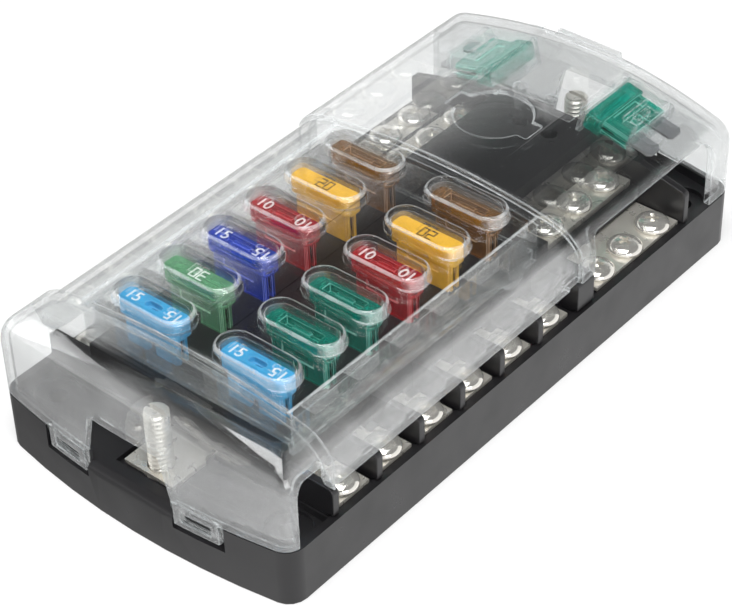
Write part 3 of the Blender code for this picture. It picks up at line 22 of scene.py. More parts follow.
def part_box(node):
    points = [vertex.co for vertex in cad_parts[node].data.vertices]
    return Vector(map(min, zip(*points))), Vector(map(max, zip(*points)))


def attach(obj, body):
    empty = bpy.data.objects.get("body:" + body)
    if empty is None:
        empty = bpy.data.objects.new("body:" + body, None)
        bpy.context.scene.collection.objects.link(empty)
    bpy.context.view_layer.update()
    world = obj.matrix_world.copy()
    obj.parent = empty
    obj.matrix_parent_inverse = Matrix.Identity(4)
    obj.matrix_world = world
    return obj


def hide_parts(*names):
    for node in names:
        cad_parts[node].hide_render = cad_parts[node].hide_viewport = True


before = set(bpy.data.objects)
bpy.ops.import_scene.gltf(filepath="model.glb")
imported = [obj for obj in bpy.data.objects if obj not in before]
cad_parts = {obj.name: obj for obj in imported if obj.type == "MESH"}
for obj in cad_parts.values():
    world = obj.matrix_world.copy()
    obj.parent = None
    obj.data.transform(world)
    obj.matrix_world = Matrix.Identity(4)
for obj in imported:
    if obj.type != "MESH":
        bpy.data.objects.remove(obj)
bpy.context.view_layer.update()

LOG = logging.getLogger("fuse_box")
MM = 0.001
GAP = 0.3 * MM
Array = np.ndarray
Tree = bpy.types.NodeTree
Socket = bpy.types.NodeSocket
Material = bpy.types.Material
Mesh = bpy.types.Mesh
Piece = bpy.types.Object
Point = Sequence[float]
WHITE = "ffffff"
HOUSING, COVER = "housing", "cover"
BLACK, NICKEL, CLEAR = "black_plastic", "nickel_plate", "clear_plastic"
FLAT_NOISE = (0.3, 0.7)
QUARTER = math.pi / 2


# Node trees and colours


def linear(code: str, alpha: float = 1.0) -> tuple[float, float, float, float]:
    """Turns an sRGB hex colour into the linear one a shader takes.

    Args:
        code: Colour as six hex digits, with or without a leading hash.
        alpha: Opacity put after the three colours.

    Returns:
        Linear red, green, blue and the opacity.
    """
    digits = code.lstrip("#")
    parts = np.array([int(digits[i:i + 2], 16) for i in (0, 2, 4)]) / 255
    low = parts / 12.92
    high = ((parts + 0.055) / 1.055) ** 2.4
    red, green, blue = np.where(parts <= 0.04045, low, high)
    return float(red), float(green), float(blue), alpha


def add_node(tree: Tree, kind: str, inputs: dict[Any, Any] | None = None,
             **settings: Any) -> bpy.types.Node:
    """Adds a node with its settings, and sets or links its inputs.

    Args:
        tree: Node tree that gets the node.
        kind: Node type's name without the leading ShaderNode.
        inputs: Value or socket for each input, by name or index.
        settings: Properties of the node itself.

    Returns:
        The new node.
    """
    node = tree.nodes.new("ShaderNode" + kind)
    for name, value in settings.items():
        setattr(node, name, value)
    for key, value in (inputs or {}).items():
        if isinstance(value, Socket):
            tree.links.new(value, node.inputs[key])
        else:
            node.inputs[key].default_value = value
    return node


def blank_material(name: str) -> tuple[Material, Tree, Socket]:
    """Makes a material with an empty node tree.

    Args:
        name: Name of the material.

    Returns:
        The material, its tree and the surface input of its output node.
    """
    material = bpy.data.materials.new(name)
    material.use_nodes = True
    tree = material.node_tree
    tree.nodes.clear()
    output = add_node(tree, "OutputMaterial")
    return material, tree, output.inputs["Surface"]


def object_noise(tree: Tree, grain: float, detail: float = 3.0) -> Socket:
    """Adds noise on Object coordinates with cells of a real size.

    Args:
        tree: Node tree that gets the nodes.
        grain: Size of a cell in metres.
        detail: Octaves of finer noise on top.

    Returns:
        The noise's value, around one half.
    """
    place = add_node(tree, "TexCoord").outputs["Object"]
    noise = add_node(tree, "TexNoise", {"Vector": place, "Scale": 1 / grain, "Detail": detail})
    return noise.outputs[0]


def spread(tree: Tree, value: Socket, low: float, high: float) -> Socket:
    """Maps a noise value from its usual span to a wanted one.

    Args:
        tree: Node tree that gets the node.
        value: The noise's value.
        low: Result at the span's low end.
        high: Result at its high end.

    Returns:
        The mapped value.
    """
    return add_node(tree, "MapRange", {
        "Value": value, "From Min": FLAT_NOISE[0], "From Max": FLAT_NOISE[1],
        "To Min": low, "To Max": high}).outputs[0]


def lets_light_in(tree: Tree, shader: Socket, colour: str, share: float) -> Socket:
    """Lets a share of each shadow ray through a clear wall.

    Args:
        tree: Node tree that gets the nodes.
        shader: The clear wall's own shader.
        colour: Hex colour that the passing light takes.
        share: How much of the shadow is taken away.

    Returns:
        The mixed shader.
    """
    is_shadow = add_node(tree, "LightPath").outputs["Is Shadow Ray"]
    scaled = add_node(tree, "Math", {0: is_shadow, 1: share}, operation="MULTIPLY").outputs[0]
    through = add_node(tree, "BsdfTransparent", {"Color": linear(colour)}).outputs[0]
    return add_node(tree, "MixShader", {0: scaled, 1: shader, 2: through}).outputs[0]


# Finishes


@dataclass(frozen=True)
class MouldedNylon:
    """Black glass-filled nylon, injection moulded in a fine spark-eroded tool.

    It gives the eye a near-black satin with soft broad highlights, a faint
    grain and slightly shinier patches where the melt met the tool first.
    """

    name: str = "moulded_black_nylon"
    colour: str = "19181a"
    roughness: tuple[float, float] = (0.27, 0.40)
    grain: float = 0.35 * MM
    patch: float = 9 * MM
    depth: float = 0.012 * MM
    bump: float = 0.35
    ior: float = 1.52

    def build(self) -> Material:
        """Makes the material.

        Returns:
            The material with its node tree.
        """
        material, tree, surface = blank_material(self.name)
        patches = spread(tree, object_noise(tree, self.patch), *self.roughness)
        bump = add_node(tree, "Bump", {"Height": object_noise(tree, self.grain, 2.0),
                                       "Strength": self.bump, "Distance": self.depth})
        shader = add_node(tree, "BsdfPrincipled", {
            "Base Color": linear(self.colour), "Roughness": patches, "IOR": self.ior,
            "Normal": bump.outputs[0]})
        tree.links.new(shader.outputs[0], surface)
        return material


@dataclass(frozen=True)
class ClearPolycarbonate:
    """Water-clear polycarbonate, injection moulded, its near wall faintly matt.

    It gives the eye sharp reflections of the studio, bright rims on its
    rounded edges that are a painted highlight, a pale diffuse colour mixed
    into the clear wall, a faint waviness from the cooling melt, and a pale
    haze on the near end wall and the middle's sides, where the tool is spark
    eroded.
    """

    name: str = "clear_polycarbonate"
    colour: str = "fcfdfd"
    roughness: float = 0.015
    ior: float = 1.58
    ripple: float = 14 * MM
    depth: float = 0.05 * MM
    bump: float = 0.25
    shadow_share: float = 0.9
    thin_share: float = 0.8
    haze: tuple[float, float] = (0.055, 0.105)
    haze_patch: float = 11 * MM
    matt_from: float = -62 * MM
    side_end: float = 18 * MM
    side_share: float = 1.2
    fade: float = 3 * MM
    # The rounded edges' painted highlight: its pale colour, its share and the size of its patches.
    painted_highlight_colour: str = "dfe3e4"
    painted_highlight_share: tuple[float, float] = (0.15, 0.38)
    painted_highlight_patch: float = 5 * MM

    def wavy(self, tree: Tree) -> Socket:
        """The surface normal, swayed a little by the melt's slow waves."""
        return add_node(tree, "Bump", {"Height": object_noise(tree, self.ripple, 1.0),
                                       "Strength": self.bump, "Distance": self.depth}).outputs[0]

    def thin_wall(self, tree: Tree, normal: Socket) -> Socket:
        """A wall too thin to bend light: it passes straight on or is mirrored.

        The Fresnel share is the same from both sides, so the ratio of the
        indices is turned round for the faces seen from inside.

        Args:
            tree: Node tree that gets the nodes.
            normal: The surface normal.

        Returns:
            The wall's shader.
        """
        inside = add_node(tree, "NewGeometry").outputs["Backfacing"]
        ratio = add_node(tree, "MapRange", {
            "Value": inside, "To Min": self.ior, "To Max": 1 / self.ior})
        share = add_node(tree, "Fresnel", {"IOR": ratio.outputs[0], "Normal": normal})
        gloss = add_node(tree, "BsdfGlossy", {
            "Color": linear(WHITE), "Roughness": self.roughness, "Normal": normal})
        passed = add_node(tree, "BsdfTransparent", {"Color": linear(self.colour)})
        return add_node(tree, "MixShader", {0: share.outputs[0], 1: passed.outputs[0],
                                            2: gloss.outputs[0]}).outputs[0]

    def matt_share(self, tree: Tree) -> Socket:
        """How matt the surface is: patchy on the near wall and the middle's sides.

        The share grows with the part of the object's own normal along Y on
        the near end, and along X on the middle, and is nothing beyond them.

        Args:
            tree: Node tree that gets the nodes.

        Returns:
            The share as a value.
        """
        coordinates = add_node(tree, "TexCoord")
        facing = add_node(tree, "SeparateXYZ", {0: coordinates.outputs["Normal"]})
        y = add_node(tree, "SeparateXYZ", {0: coordinates.outputs["Object"]}).outputs["Y"]
        shares = []
        for axis, low, high, limit, most in (("Y", 0.35, 0.95, self.matt_from, 1.0),
                                             ("X", 0.35, 0.75, self.side_end, self.side_share)):
            size = add_node(tree, "Math", {0: facing.outputs[axis]}, operation="ABSOLUTE")
            turn = add_node(tree, "MapRange", {
                "Value": size.outputs[0], "From Min": low, "From Max": high, "To Max": most},
                interpolation_type="SMOOTHSTEP").outputs[0]
            near = add_node(tree, "MapRange", {
                "Value": y, "From Min": limit - self.fade, "From Max": limit,
                "To Min": 1.0, "To Max": 0.0}).outputs[0]
            share = add_node(tree, "Math", {0: turn, 1: near}, operation="MULTIPLY")
            shares.append(share.outputs[0])
        most = add_node(tree, "Math", dict(enumerate(shares)), operation="MAXIMUM").outputs[0]
        patch = spread(tree, object_noise(tree, self.haze_patch, 2.0), *self.haze)
        return add_node(tree, "Math", {0: most, 1: patch}, operation="MULTIPLY").outputs[0]

    def build(self) -> Material:
        """Makes the material of the walls.

        Returns:
            The material with its node tree.
        """
        material, tree, surface = blank_material(self.name)
        normal = self.wavy(tree)
        thick = add_node(tree, "BsdfPrincipled", {
            "Base Color": linear(self.colour), "Roughness": self.roughness, "IOR": self.ior,
            "Transmission Weight": 1.0, "Normal": normal}).outputs[0]
        thin = self.thin_wall(tree, normal)
        clear = add_node(tree, "MixShader", {0: self.thin_share, 1: thick, 2: thin}).outputs[0]
        matt = add_node(tree, "BsdfDiffuse", {"Color": linear(WHITE)}).outputs[0]
        share = self.matt_share(tree)
        wall = add_node(tree, "MixShader", {0: share, 1: clear, 2: matt}).outputs[0]
        tree.links.new(lets_light_in(tree, wall, self.colour, self.shadow_share), surface)
        return material

    def build_painted_edge(self) -> Material:
        """Makes the material of the rounded edges.

        The edge is a painted highlight: a pale diffuse colour mixed over the
        clear wall, stronger in some places than in others, that stands in for
        the light the wall pipes along and lets out there.

        Returns:
            The material with its node tree.
        """
        material, tree, surface = blank_material(self.name + "_edge")
        # Painted highlight: a pale diffuse colour in patches over the thin wall.
        share = spread(tree, object_noise(tree, self.painted_highlight_patch, 2.0), *self.painted_highlight_share)
        pale_highlight_paint = add_node(tree, "BsdfDiffuse", {"Color": linear(self.painted_highlight_colour)}).outputs[0]
        thin = self.thin_wall(tree, self.wavy(tree))
        edge = add_node(tree, "MixShader", {0: share, 1: thin, 2: pale_highlight_paint}).outputs[0]
        tree.links.new(lets_light_in(tree, edge, self.colour, self.shadow_share), surface)
        return material


@dataclass(frozen=True)
class TintedPlastic:
    """Dyed polycarbonate of a blade fuse's body, moulded thin and glossy.

    It gives the eye a colour that deepens with thickness and glints from the
    inner walls, or an even solid colour where the dye is opaque. Its rounded
    edges take a painted highlight, a paler diffuse tint over the walls.
    """

    name: str
    colour: str
    clear: float
    roughness: tuple[float, float] = (0.0315, 0.0675)
    streak: float = 2.4 * MM
    shade: tuple[float, float] = (0.86, 1.06)
    ior: float = 1.58
    # Share of white in the painted highlight on the edges.
    painted_highlight_lift: float = 0.3

    def walls(self, tree: Tree) -> Socket:
        """The shader of the walls: dyed clear plastic with faint streaks.

        Args:
            tree: Node tree that gets the nodes.

        Returns:
            The shader.
        """
        streaks = object_noise(tree, self.streak, 2.0)
        shade = spread(tree, streaks, *self.shade)
        tint = add_node(tree, "VectorMath", {0: linear(self.colour)[:3], "Scale": shade},
                        operation="SCALE")
        rough = spread(tree, streaks, *self.roughness)
        return add_node(tree, "BsdfPrincipled", {
            "Base Color": tint.outputs[0], "Roughness": rough, "IOR": self.ior,
            "Transmission Weight": self.clear}).outputs[0]

    def finished(self, name: str, painted_highlight_share: float) -> Material:
        """Makes a material of the walls with a share of painted highlight, a paler diffuse tint,
        over it.

        Args:
            name: Name of the material.
            painted_highlight_share: How much of the pale glow covers the walls' shader.

        Returns:
            The material.
        """
        material, tree, surface = blank_material(name)
        shader = self.walls(tree)
        if painted_highlight_share:
            # Painted highlight: the tint lifted towards white as a diffuse glow over the walls.
            lift = self.painted_highlight_lift
            lifted = [(1 - lift) * part + lift for part in linear(self.colour)[:3]]
            pale_highlight_paint = add_node(tree, "BsdfDiffuse", {"Color": (*lifted, 1.0)}).outputs[0]
            shader = add_node(tree, "MixShader", {0: painted_highlight_share, 1: shader, 2: pale_highlight_paint}).outputs[0]
        through = lets_light_in(tree, shader, self.colour, 0.75 * self.clear)
        tree.links.new(through, surface)
        return material

    def build(self) -> Material:
        """Makes the material of the walls."""
        return self.finished(self.name, 0.0)

    def build_painted_edge(self) -> Material:
        """Makes the material of the edges, with a painted pale highlight over the walls."""
        return self.finished(self.name + "_edge", 0.25 + 0.4 * self.clear)


@dataclass(frozen=True)
class NickelPlate:
    """Bright nickel plated on stamped brass.

    It gives the eye a warm white metal with a soft blur and small cloudy
    patches in its gloss. The tumbled plating scatters a part of the light,
    so it keeps a pale body colour where it mirrors the dim ceiling.
    """

    name: str = "nickel_on_brass"
    colour: str = "e0dcd3"
    roughness: tuple[float, float] = (0.24, 0.38)
    cloud: float = 3.5 * MM
    grain: float = 0.3 * MM
    depth: float = 0.01 * MM
    metallic: float = 0.72
    bump: float = 0.3

    def build(self) -> Material:
        """Makes the material.

        Returns:
            The material with its node tree.
        """
        material, tree, surface = blank_material(self.name)
        rough = spread(tree, object_noise(tree, self.cloud), *self.roughness)
        bump = add_node(tree, "Bump", {"Height": object_noise(tree, self.grain, 2.0),
                                       "Strength": self.bump, "Distance": self.depth})
        shader = add_node(tree, "BsdfPrincipled", {
            "Base Color": linear(self.colour), "Metallic": self.metallic, "Roughness": rough,
            "Normal": bump.outputs[0]})
        tree.links.new(shader.outputs[0], surface)
        return material


@dataclass(frozen=True)
class PrintedInk:
    """Pad-printed ink on a fuse's head: flat, even and faintly raised."""

    name: str
    colour: str
    grain: float = 0.4 * MM
    roughness: tuple[float, float] = (0.45, 0.6)

    def build(self) -> Material:
        """Makes the material.

        Returns:
            The material with its node tree.
        """
        material, tree, surface = blank_material(self.name)
        rough = spread(tree, object_noise(tree, self.grain), *self.roughness)
        shader = add_node(tree, "BsdfPrincipled", {
            "Base Color": linear(self.colour), "Roughness": rough})
        tree.links.new(shader.outputs[0], surface)
        return material


class Rating(Enum):
    """The fuse ratings in the box: body colour, clearness and printed number."""

    LIGHT_BLUE = ("fuse_light_blue", "4cb4ea", 0.10, "15")
    GREEN = ("fuse_green", "98dcae", 0.66, "30")
    DARK_BLUE = ("fuse_dark_blue", "3e74ff", 0.78, "15")
    RED = ("fuse_red", "f01a30", 0.72, "10")
    YELLOW = ("fuse_yellow", "fbc23c", 0.0, "20")
    BROWN = ("fuse_brown", "c08a34", 0.82, "")
    TEAL = ("fuse_teal", "08c8b2", 0.80, "")

    @property
    def slot(self) -> str:
        """The record's material slot."""
        return self.value[0]

    @property
    def number(self) -> str:
        """The amp rating printed on the head."""
        return self.value[3]

    def finish(self) -> TintedPlastic:
        """The dyed plastic of this rating."""
        slot, colour, clear, _ = self.value
        return TintedPlastic(slot.replace("fuse_", "dyed_"), colour, clear)


FAR_HALF = (Rating.RED, Rating.YELLOW, Rating.BROWN)
ROWS = {
    "left": (Rating.LIGHT_BLUE, Rating.GREEN, Rating.DARK_BLUE, *FAR_HALF),
    "right": (Rating.LIGHT_BLUE, Rating.TEAL, Rating.TEAL, *FAR_HALF),
}
SIDES = {"left": -1, "right": 1}


@dataclass
class Finishes:
    """Every material of the box, made once and shared."""

    nylon: Material = field(init=False)
    clear: Material = field(init=False)
    clear_painted_edge: Material = field(init=False)
    nickel: Material = field(init=False)
    bright: Material = field(init=False)
    zinc: Material = field(init=False)
    white_ink: Material = field(init=False)
    black_ink: Material = field(init=False)
    dyed: dict[Rating, list[Material]] = field(init=False)

    def __post_init__(self) -> None:
        """Builds the materials."""
        self.nylon = MouldedNylon().build()
        self.clear = ClearPolycarbonate().build()
        # The cover's edge material carries a painted pale highlight.
        self.clear_painted_edge = ClearPolycarbonate().build_painted_edge()
        self.nickel = NickelPlate().build()
        self.bright = NickelPlate("bright_nickel_screw", "e6e3dc", (0.08, 0.17), 2.5 * MM,
                                  0.5 * MM, 0.004 * MM, 0.78).build()
        self.zinc = NickelPlate("stamped_zinc", "b4b5b8", (0.28, 0.45), 2 * MM, 0.2 * MM).build()
        self.white_ink = PrintedInk("white_pad_print", "f4f4f2").build()
        self.black_ink = PrintedInk("black_pad_print", "140e08").build()
        # Each rating's second material carries the painted pale highlight of the edges.
        self.dyed = {rating: [rating.finish().build(), rating.finish().build_painted_edge()]
                     for rating in Rating}


# Outlines and solids as arrays


def arc(centre: Point, radius: float, start: float, end: float, steps: int) -> Array:
    """Points of an arc, its centre plus radius times cosine and sine.

    Args:
        centre: Middle of the circle.
        radius: Radius of the circle.
        start: First angle in radians.
        end: Last angle in radians.
        steps: Number of equal steps between them.

    Returns:
        An array of steps + 1 points.
    """
    angles = np.linspace(start, end, steps + 1)
    return np.c_[centre[0] + radius * np.cos(angles), centre[1] + radius * np.sin(angles)]


def rounded(low: Point, high: Point, radius: float, steps: int = 6) -> Array:
    """Outline of a rectangle whose four corners are quarter circles.

    Args:
        low: Lowest corner of the rectangle.
        high: Highest corner.
        radius: Radius of the quarter circles.
        steps: Steps of each of them.

    Returns:
        The outline, anticlockwise.
    """
    corners = ((high[0] - radius, low[1] + radius), (high[0] - radius, high[1] - radius),
               (low[0] + radius, high[1] - radius), (low[0] + radius, low[1] + radius))
    return np.vstack([arc(at, radius, (k - 1) * QUARTER, k * QUARTER, steps)
                      for k, at in enumerate(corners)])


def stadium(centre: Point, length: float, width: float, steps: int) -> Array:
    """Outline of a slot along X: two half circles and two straight sides.

    Args:
        centre: Middle of the slot.
        length: Length over both ends.
        width: Width across.
        steps: Steps of each half circle.

    Returns:
        The outline, anticlockwise.
    """
    reach = (length - width) / 2
    right = arc((centre[0] + reach, centre[1]), width / 2, -QUARTER, QUARTER, steps)
    left = arc((centre[0] - reach, centre[1]), width / 2, QUARTER, 3 * QUARTER, steps)
    return np.vstack([right, left])


def at_height(outline: Array, z: float | Array) -> Array:
    """An outline's points with a height each: (x, y) becomes (x, y, z)."""
    return np.c_[outline, np.broadcast_to(z, len(outline))]


def mirrored(half: Array) -> Array:
    """A half outline and its mirror image in x, the shared last point once."""
    return np.vstack([half, half[::-1][1:] * (-1, 1)])


def grid_faces(levels: int, count: int) -> list[tuple[int, ...]]:
    """Quads between closed rings of equal count, one ring after another.

    Face (level, i) joins point i and i + 1 of a ring, the last to the first,
    with the same two points of the next ring.

    Args:
        levels: Number of rings.
        count: Points of each ring.

    Returns:
        The quads as point numbers.
    """
    level, i = np.meshgrid(np.arange(levels - 1), np.arange(count), indexing="ij")
    base, after = level * count + i, level * count + (i + 1) % count
    quads = np.stack([base, after, after + count, base + count], axis=-1).reshape(-1, 4)
    return [tuple(quad) for quad in quads.tolist()]


def mesh_object(name: str, points: Array, faces: Sequence[Sequence[int]]) -> Piece:
    """A mesh object in no collection yet.

    Args:
        name: Name of the object and its mesh.
        points: The (x, y, z) points.
        faces: Point numbers of each face.

    Returns:
        The object.
    """
    mesh = bpy.data.meshes.new(name)
    mesh.from_pydata(np.asarray(points, float).tolist(), [], faces)
    mesh.update()
    return bpy.data.objects.new(name, mesh)


def lofted(name: str, rings: Sequence[Array]) -> Piece:
    """A closed solid through rings of equal count, with flat end caps.

    Args:
        name: Name of the object.
        rings: Arrays of (x, y, z) points, anticlockwise seen from above.

    Returns:
        The solid, its faces outwards.
    """
    count, last = len(rings[0]), (len(rings) - 1) * len(rings[0])
    caps = [tuple(range(count))[::-1], tuple(range(last, last + count))]
    return mesh_object(name, np.vstack(rings), grid_faces(len(rings), count) + caps)


COLUMNS = {"Z": (0, 1, 2), "Y": (0, 2, 1), "X": (2, 0, 1)}


def carried(name: str, outline: Array, low: float, high: float, axis: str = "Z") -> Piece:
    """A flat outline carried in a straight line from low to high.

    Args:
        name: Name of the object.
        outline: Points as (x, y) for Z, (x, z) for Y and (y, z) for X.
        low: Where the line starts on the axis.
        high: Where it ends.
        axis: Axis of the line.

    Returns:
        The prism, its faces outwards.
    """
    outline = np.asarray(outline, float)
    after = np.roll(outline, -1, axis=0)
    clockwise = np.sum(outline[:, 0] * after[:, 1] - after[:, 0] * outline[:, 1]) < 0
    if clockwise != (axis == "Y"):
        outline = outline[::-1]
    return lofted(name, [at_height(outline, level)[:, COLUMNS[axis]] for level in (low, high)])


def block(name: str, low: Point, high: Point) -> Piece:
    """A box between two opposite corners, as a rectangle carried up."""
    outline = [(low[0], low[1]), (high[0], low[1]), (high[0], high[1]), (low[0], high[1])]
    return carried(name, np.array(outline), low[2], high[2])


def span(sign: int, near: float, far: float) -> tuple[float, float]:
    """The stretch from near to far on the side of sign, lower end first."""
    return min(sign * near, sign * far), max(sign * near, sign * far)


def turned(name: str, profile: Array, sides: int) -> Piece:
    """A profile of (radius, z) turned round the Z axis.

    Point (k, j) is (radius_k cos a_j, radius_k sin a_j, z_k) with a_j the
    j-th of equal angles, and both ends close on a flat cap.

    Args:
        name: Name of the object.
        profile: The (radius, z) points, lowest first.
        sides: Number of equal angles.

    Returns:
        The solid, its faces outwards.
    """
    angles = np.linspace(0.0, 4 * QUARTER, sides, endpoint=False)
    ring = np.c_[np.cos(angles), np.sin(angles)]
    return lofted(name, [at_height(radius * ring, z) for radius, z in profile])


def spot(x: float, y: float, z: float, turn: float = 0.0) -> Matrix:
    """The place at (x, y, z), turned about Z by an angle in radians."""
    return Matrix.Translation((x, y, z)) @ Matrix.Rotation(turn, 4, "Z")


def moved(piece: Piece, place: Matrix) -> Piece:
    """Moves a piece's points into place."""
    piece.data.transform(place)
    return piece


def copy_of(piece: Piece, name: str, place: Matrix) -> Piece:
    """Another piece with its own copy of the mesh, moved into place."""
    return moved(bpy.data.objects.new(name, piece.data.copy()), place)


def dress(piece: Piece, materials: Sequence[Material]) -> None:
    """Gives a piece these materials and no others.

    Args:
        piece: The piece.
        materials: Its materials, in slot order.
    """
    piece.data.materials.clear()
    for material in materials:
        piece.data.materials.append(material)


@dataclass
class Bench:
    """Joins and cuts solids, rounds their edges and puts pieces in the box."""

    box: bpy.types.Collection = field(init=False)
    pieces: int = 0

    def __post_init__(self) -> None:
        """Makes the collection that holds the finished pieces."""
        self.box = bpy.data.collections.new("fuse_box_dressed")
        bpy.context.scene.collection.children.link(self.box)

    def evaluated(self, piece: Piece) -> Mesh:
        """Works out a loose object's mesh.

        Args:
            piece: An object in no collection.

        Returns:
            Its mesh with the modifiers applied.
        """
        bpy.context.scene.collection.objects.link(piece)
        graph = bpy.context.evaluated_depsgraph_get()
        mesh = bpy.data.meshes.new_from_object(piece.evaluated_get(graph))
        bpy.context.scene.collection.objects.unlink(piece)
        return mesh

    def settle(self, piece: Piece) -> Piece:
        """Turns a piece's modifiers into its mesh.

        Args:
            piece: An object in no collection.

        Returns:
            The same object with its new mesh.
        """
        mesh = self.evaluated(piece)
        piece.modifiers.clear()
        piece.data = mesh
        return piece

    def combine(self, target: Piece, operation: str, pieces: Sequence[Piece]) -> Piece:
        """Cuts or joins several solids in one exact Boolean.

        Args:
            target: Solid that is changed.
            operation: UNION, DIFFERENCE or INTERSECT.
            pieces: The other solids, used up here.

        Returns:
            The changed target.
        """
        group = bpy.data.collections.new("used_up")
        for piece in pieces:
            group.objects.link(piece)
        step = target.modifiers.new("Boolean", "BOOLEAN")
        step.operation = operation
        step.operand_type = "COLLECTION"
        step.collection = group
        step.solver = "EXACT"
        self.settle(target)
        for piece in pieces:
            bpy.data.objects.remove(piece)
        bpy.data.collections.remove(group)
        return target

    def cut(self, target: Piece, *pieces: Piece) -> Piece:
        """Takes the pieces away from the target."""
        return self.combine(target, "DIFFERENCE", pieces)

    def join(self, target: Piece, *pieces: Piece) -> Piece:
        """Makes the pieces and the target one body."""
        return self.combine(target, "UNION", pieces)

    def tidy(self, piece: Piece, flat: float = 0.3) -> Piece:
        """Merges doubled points and dissolves the edges inside flat faces.

        Args:
            piece: The solid.
            flat: Angle in degrees up to which two faces count as one.

        Returns:
            The solid.
        """
        graph = bmesh.new()
        graph.from_mesh(piece.data)
        bmesh.ops.remove_doubles(graph, verts=graph.verts, dist=0.002 * MM)
        bmesh.ops.dissolve_limit(graph, angle_limit=math.radians(flat), verts=graph.verts,
                                 edges=graph.edges)
        graph.to_mesh(piece.data)
        graph.free()
        return piece

    def from_node(self, node: str) -> Piece:
        """Copies a CAD node without its materials.

        Args:
            node: Name of the node.

        Returns:
            The copy, its doubled points merged.
        """
        piece = copy_of(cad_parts[node], node, Matrix())
        dress(piece, [])
        return self.tidy(piece)

    def round_edges(self, piece: Piece, width: float, angle: float = 40.0,
                    material: int = -1, clamp: bool = True) -> Piece:
        """Rounds the edges that are sharper than an angle, as a mould does.

        Args:
            piece: The solid.
            width: Width of the rounding.
            angle: Edges flatter than this, in degrees, stay as they are.
            material: Slot that the rounded faces take, or -1 for their neighbours'.
            clamp: Whether the shortest edge limits every rounding.

        Returns:
            The solid with its edges rounded.
        """
        bevel = piece.modifiers.new("Bevel", "BEVEL")
        bevel.material = material
        bevel.width = width
        bevel.segments = 2
        bevel.limit_method = "ANGLE"
        bevel.angle_limit = math.radians(angle)
        bevel.use_clamp_overlap = clamp
        bevel.loop_slide = True
        bevel.miter_outer = "MITER_SHARP"
        return self.settle(piece)

    def place(self, piece: Piece, name: str, body: str, slot: str,
              materials: Sequence[Material], node: str = "", smooth: float = 35.0) -> None:
        """Names, dresses and links a finished piece, and ties it to the frame.

        Args:
            piece: The finished solid at the origin.
            name: Its name in the scene.
            body: The CAD body it rides on.
            slot: The record's material slot; not used.
            materials: Its materials, in slot order.
            node: The CAD node that it stands for, if any.
            smooth: Edges flatter than this angle are shaded smooth.
        """
        piece.name = piece.data.name = name
        slots = np.zeros(len(piece.data.polygons), dtype=np.int32)
        piece.data.polygons.foreach_get("material_index", slots)
        dress(piece, materials)
        piece.data.polygons.foreach_set("material_index", np.minimum(slots, len(materials) - 1))
        piece.data.shade_smooth()
        piece.data.set_sharp_from_angle(angle=math.radians(smooth))
        weighted = piece.modifiers.new("WeightedNormal", "WEIGHTED_NORMAL")
        weighted.keep_sharp = True
        self.box.objects.link(piece)
        self.settle_normals(piece)
        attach(piece, body)
        if node:
            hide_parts(node)
        self.pieces += 1
        LOG.info("%s: %d faces on %s", name, len(piece.data.polygons), body)

    def settle_normals(self, piece: Piece) -> None:
        """Turns the weighted normals into the mesh's own.

        Args:
            piece: A linked piece with the modifier that weights its normals.
        """
        graph = bpy.context.evaluated_depsgraph_get()
        mesh = bpy.data.meshes.new_from_object(piece.evaluated_get(graph))
        piece.modifiers.clear()
        mesh.name = piece.name
        piece.data = mesh


# Sizes shared by the pieces


@dataclass(frozen=True)
class Layout:
    """Places that several pieces share, read from the frame's own boxes."""

    half_width: float
    half_length: float
    tray_top: float
    roof_top: float
    column_x: float
    row_ys: tuple[float, ...]
    fuse_base: float
    fuse_top: float
    fuse_length: float
    fuse_width: float
    stud_y: float
    corner: float = 5 * MM
    bow: float = 215 * MM
    blade_pitch: float = 9.2 * MM

    @classmethod
    def read(cls) -> "Layout":
        """Works the places out from the CAD nodes' boxes.

        Returns:
            The layout.
        """
        tray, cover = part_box("base_tray"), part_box("clear_cover")
        fuses = [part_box(f"fuse_body_right_{row}") for row in range(1, 7)]
        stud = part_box("positive_stud")
        first = fuses[0]
        return cls(
            half_width=tray[1].x, half_length=tray[1].y, tray_top=tray[1].z,
            roof_top=cover[1].z - 0.5 * MM,
            column_x=(first[0].x + first[1].x) / 2,
            row_ys=tuple((low.y + high.y) / 2 for low, high in fuses),
            fuse_base=first[0].z, fuse_top=first[1].z, fuse_length=first[1].x - first[0].x,
            fuse_width=first[1].y - first[0].y, stud_y=-(stud[0].y + stud[1].y) / 2)

    def outline(self, inset: float = 0.0, smallest: float = 0.8 * MM, steps: int = 10) -> Array:
        """Plan of the box moved in by inset, with bowed ends and round corners.

        Each end is an arc about a far centre, and the corner arc touches both
        that arc and the straight side.

        Args:
            inset: How far the outline moves in.
            smallest: Smallest corner radius left.
            steps: Steps of each arc.

        Returns:
            Points from the middle of the -Y end, anticlockwise.
        """
        bow, corner = self.bow - inset, max(self.corner - inset, smallest)
        corner_x = self.half_width - inset - corner
        bow_y = bow - (self.half_length - inset)
        corner_y = bow_y - math.sqrt((bow - corner) ** 2 - corner_x**2)
        meet = math.asin(corner_x / (bow - corner))
        along = np.linspace(0.0, meet, steps + 1)
        around = np.linspace(meet, QUARTER, steps + 1)[1:]
        quarter = np.vstack([
            np.c_[bow * np.sin(along), bow_y - bow * np.cos(along)],
            np.c_[corner_x + corner * np.sin(around), corner_y - corner * np.cos(around)]])
        right = np.vstack([quarter, quarter[::-1] * (1, -1)])
        return np.vstack([right, right[::-1][1:-1] * (-1, 1)])

    def face_y(self, x: Array, sign: int, inset: float = 0.0) -> Array:
        """Y of the bowed end face at x: the arc's height, moved in by inset."""
        bow = self.bow - inset
        return sign * (self.half_length - inset - bow + np.sqrt(bow**2 - np.asarray(x) ** 2))


# Black mouldings


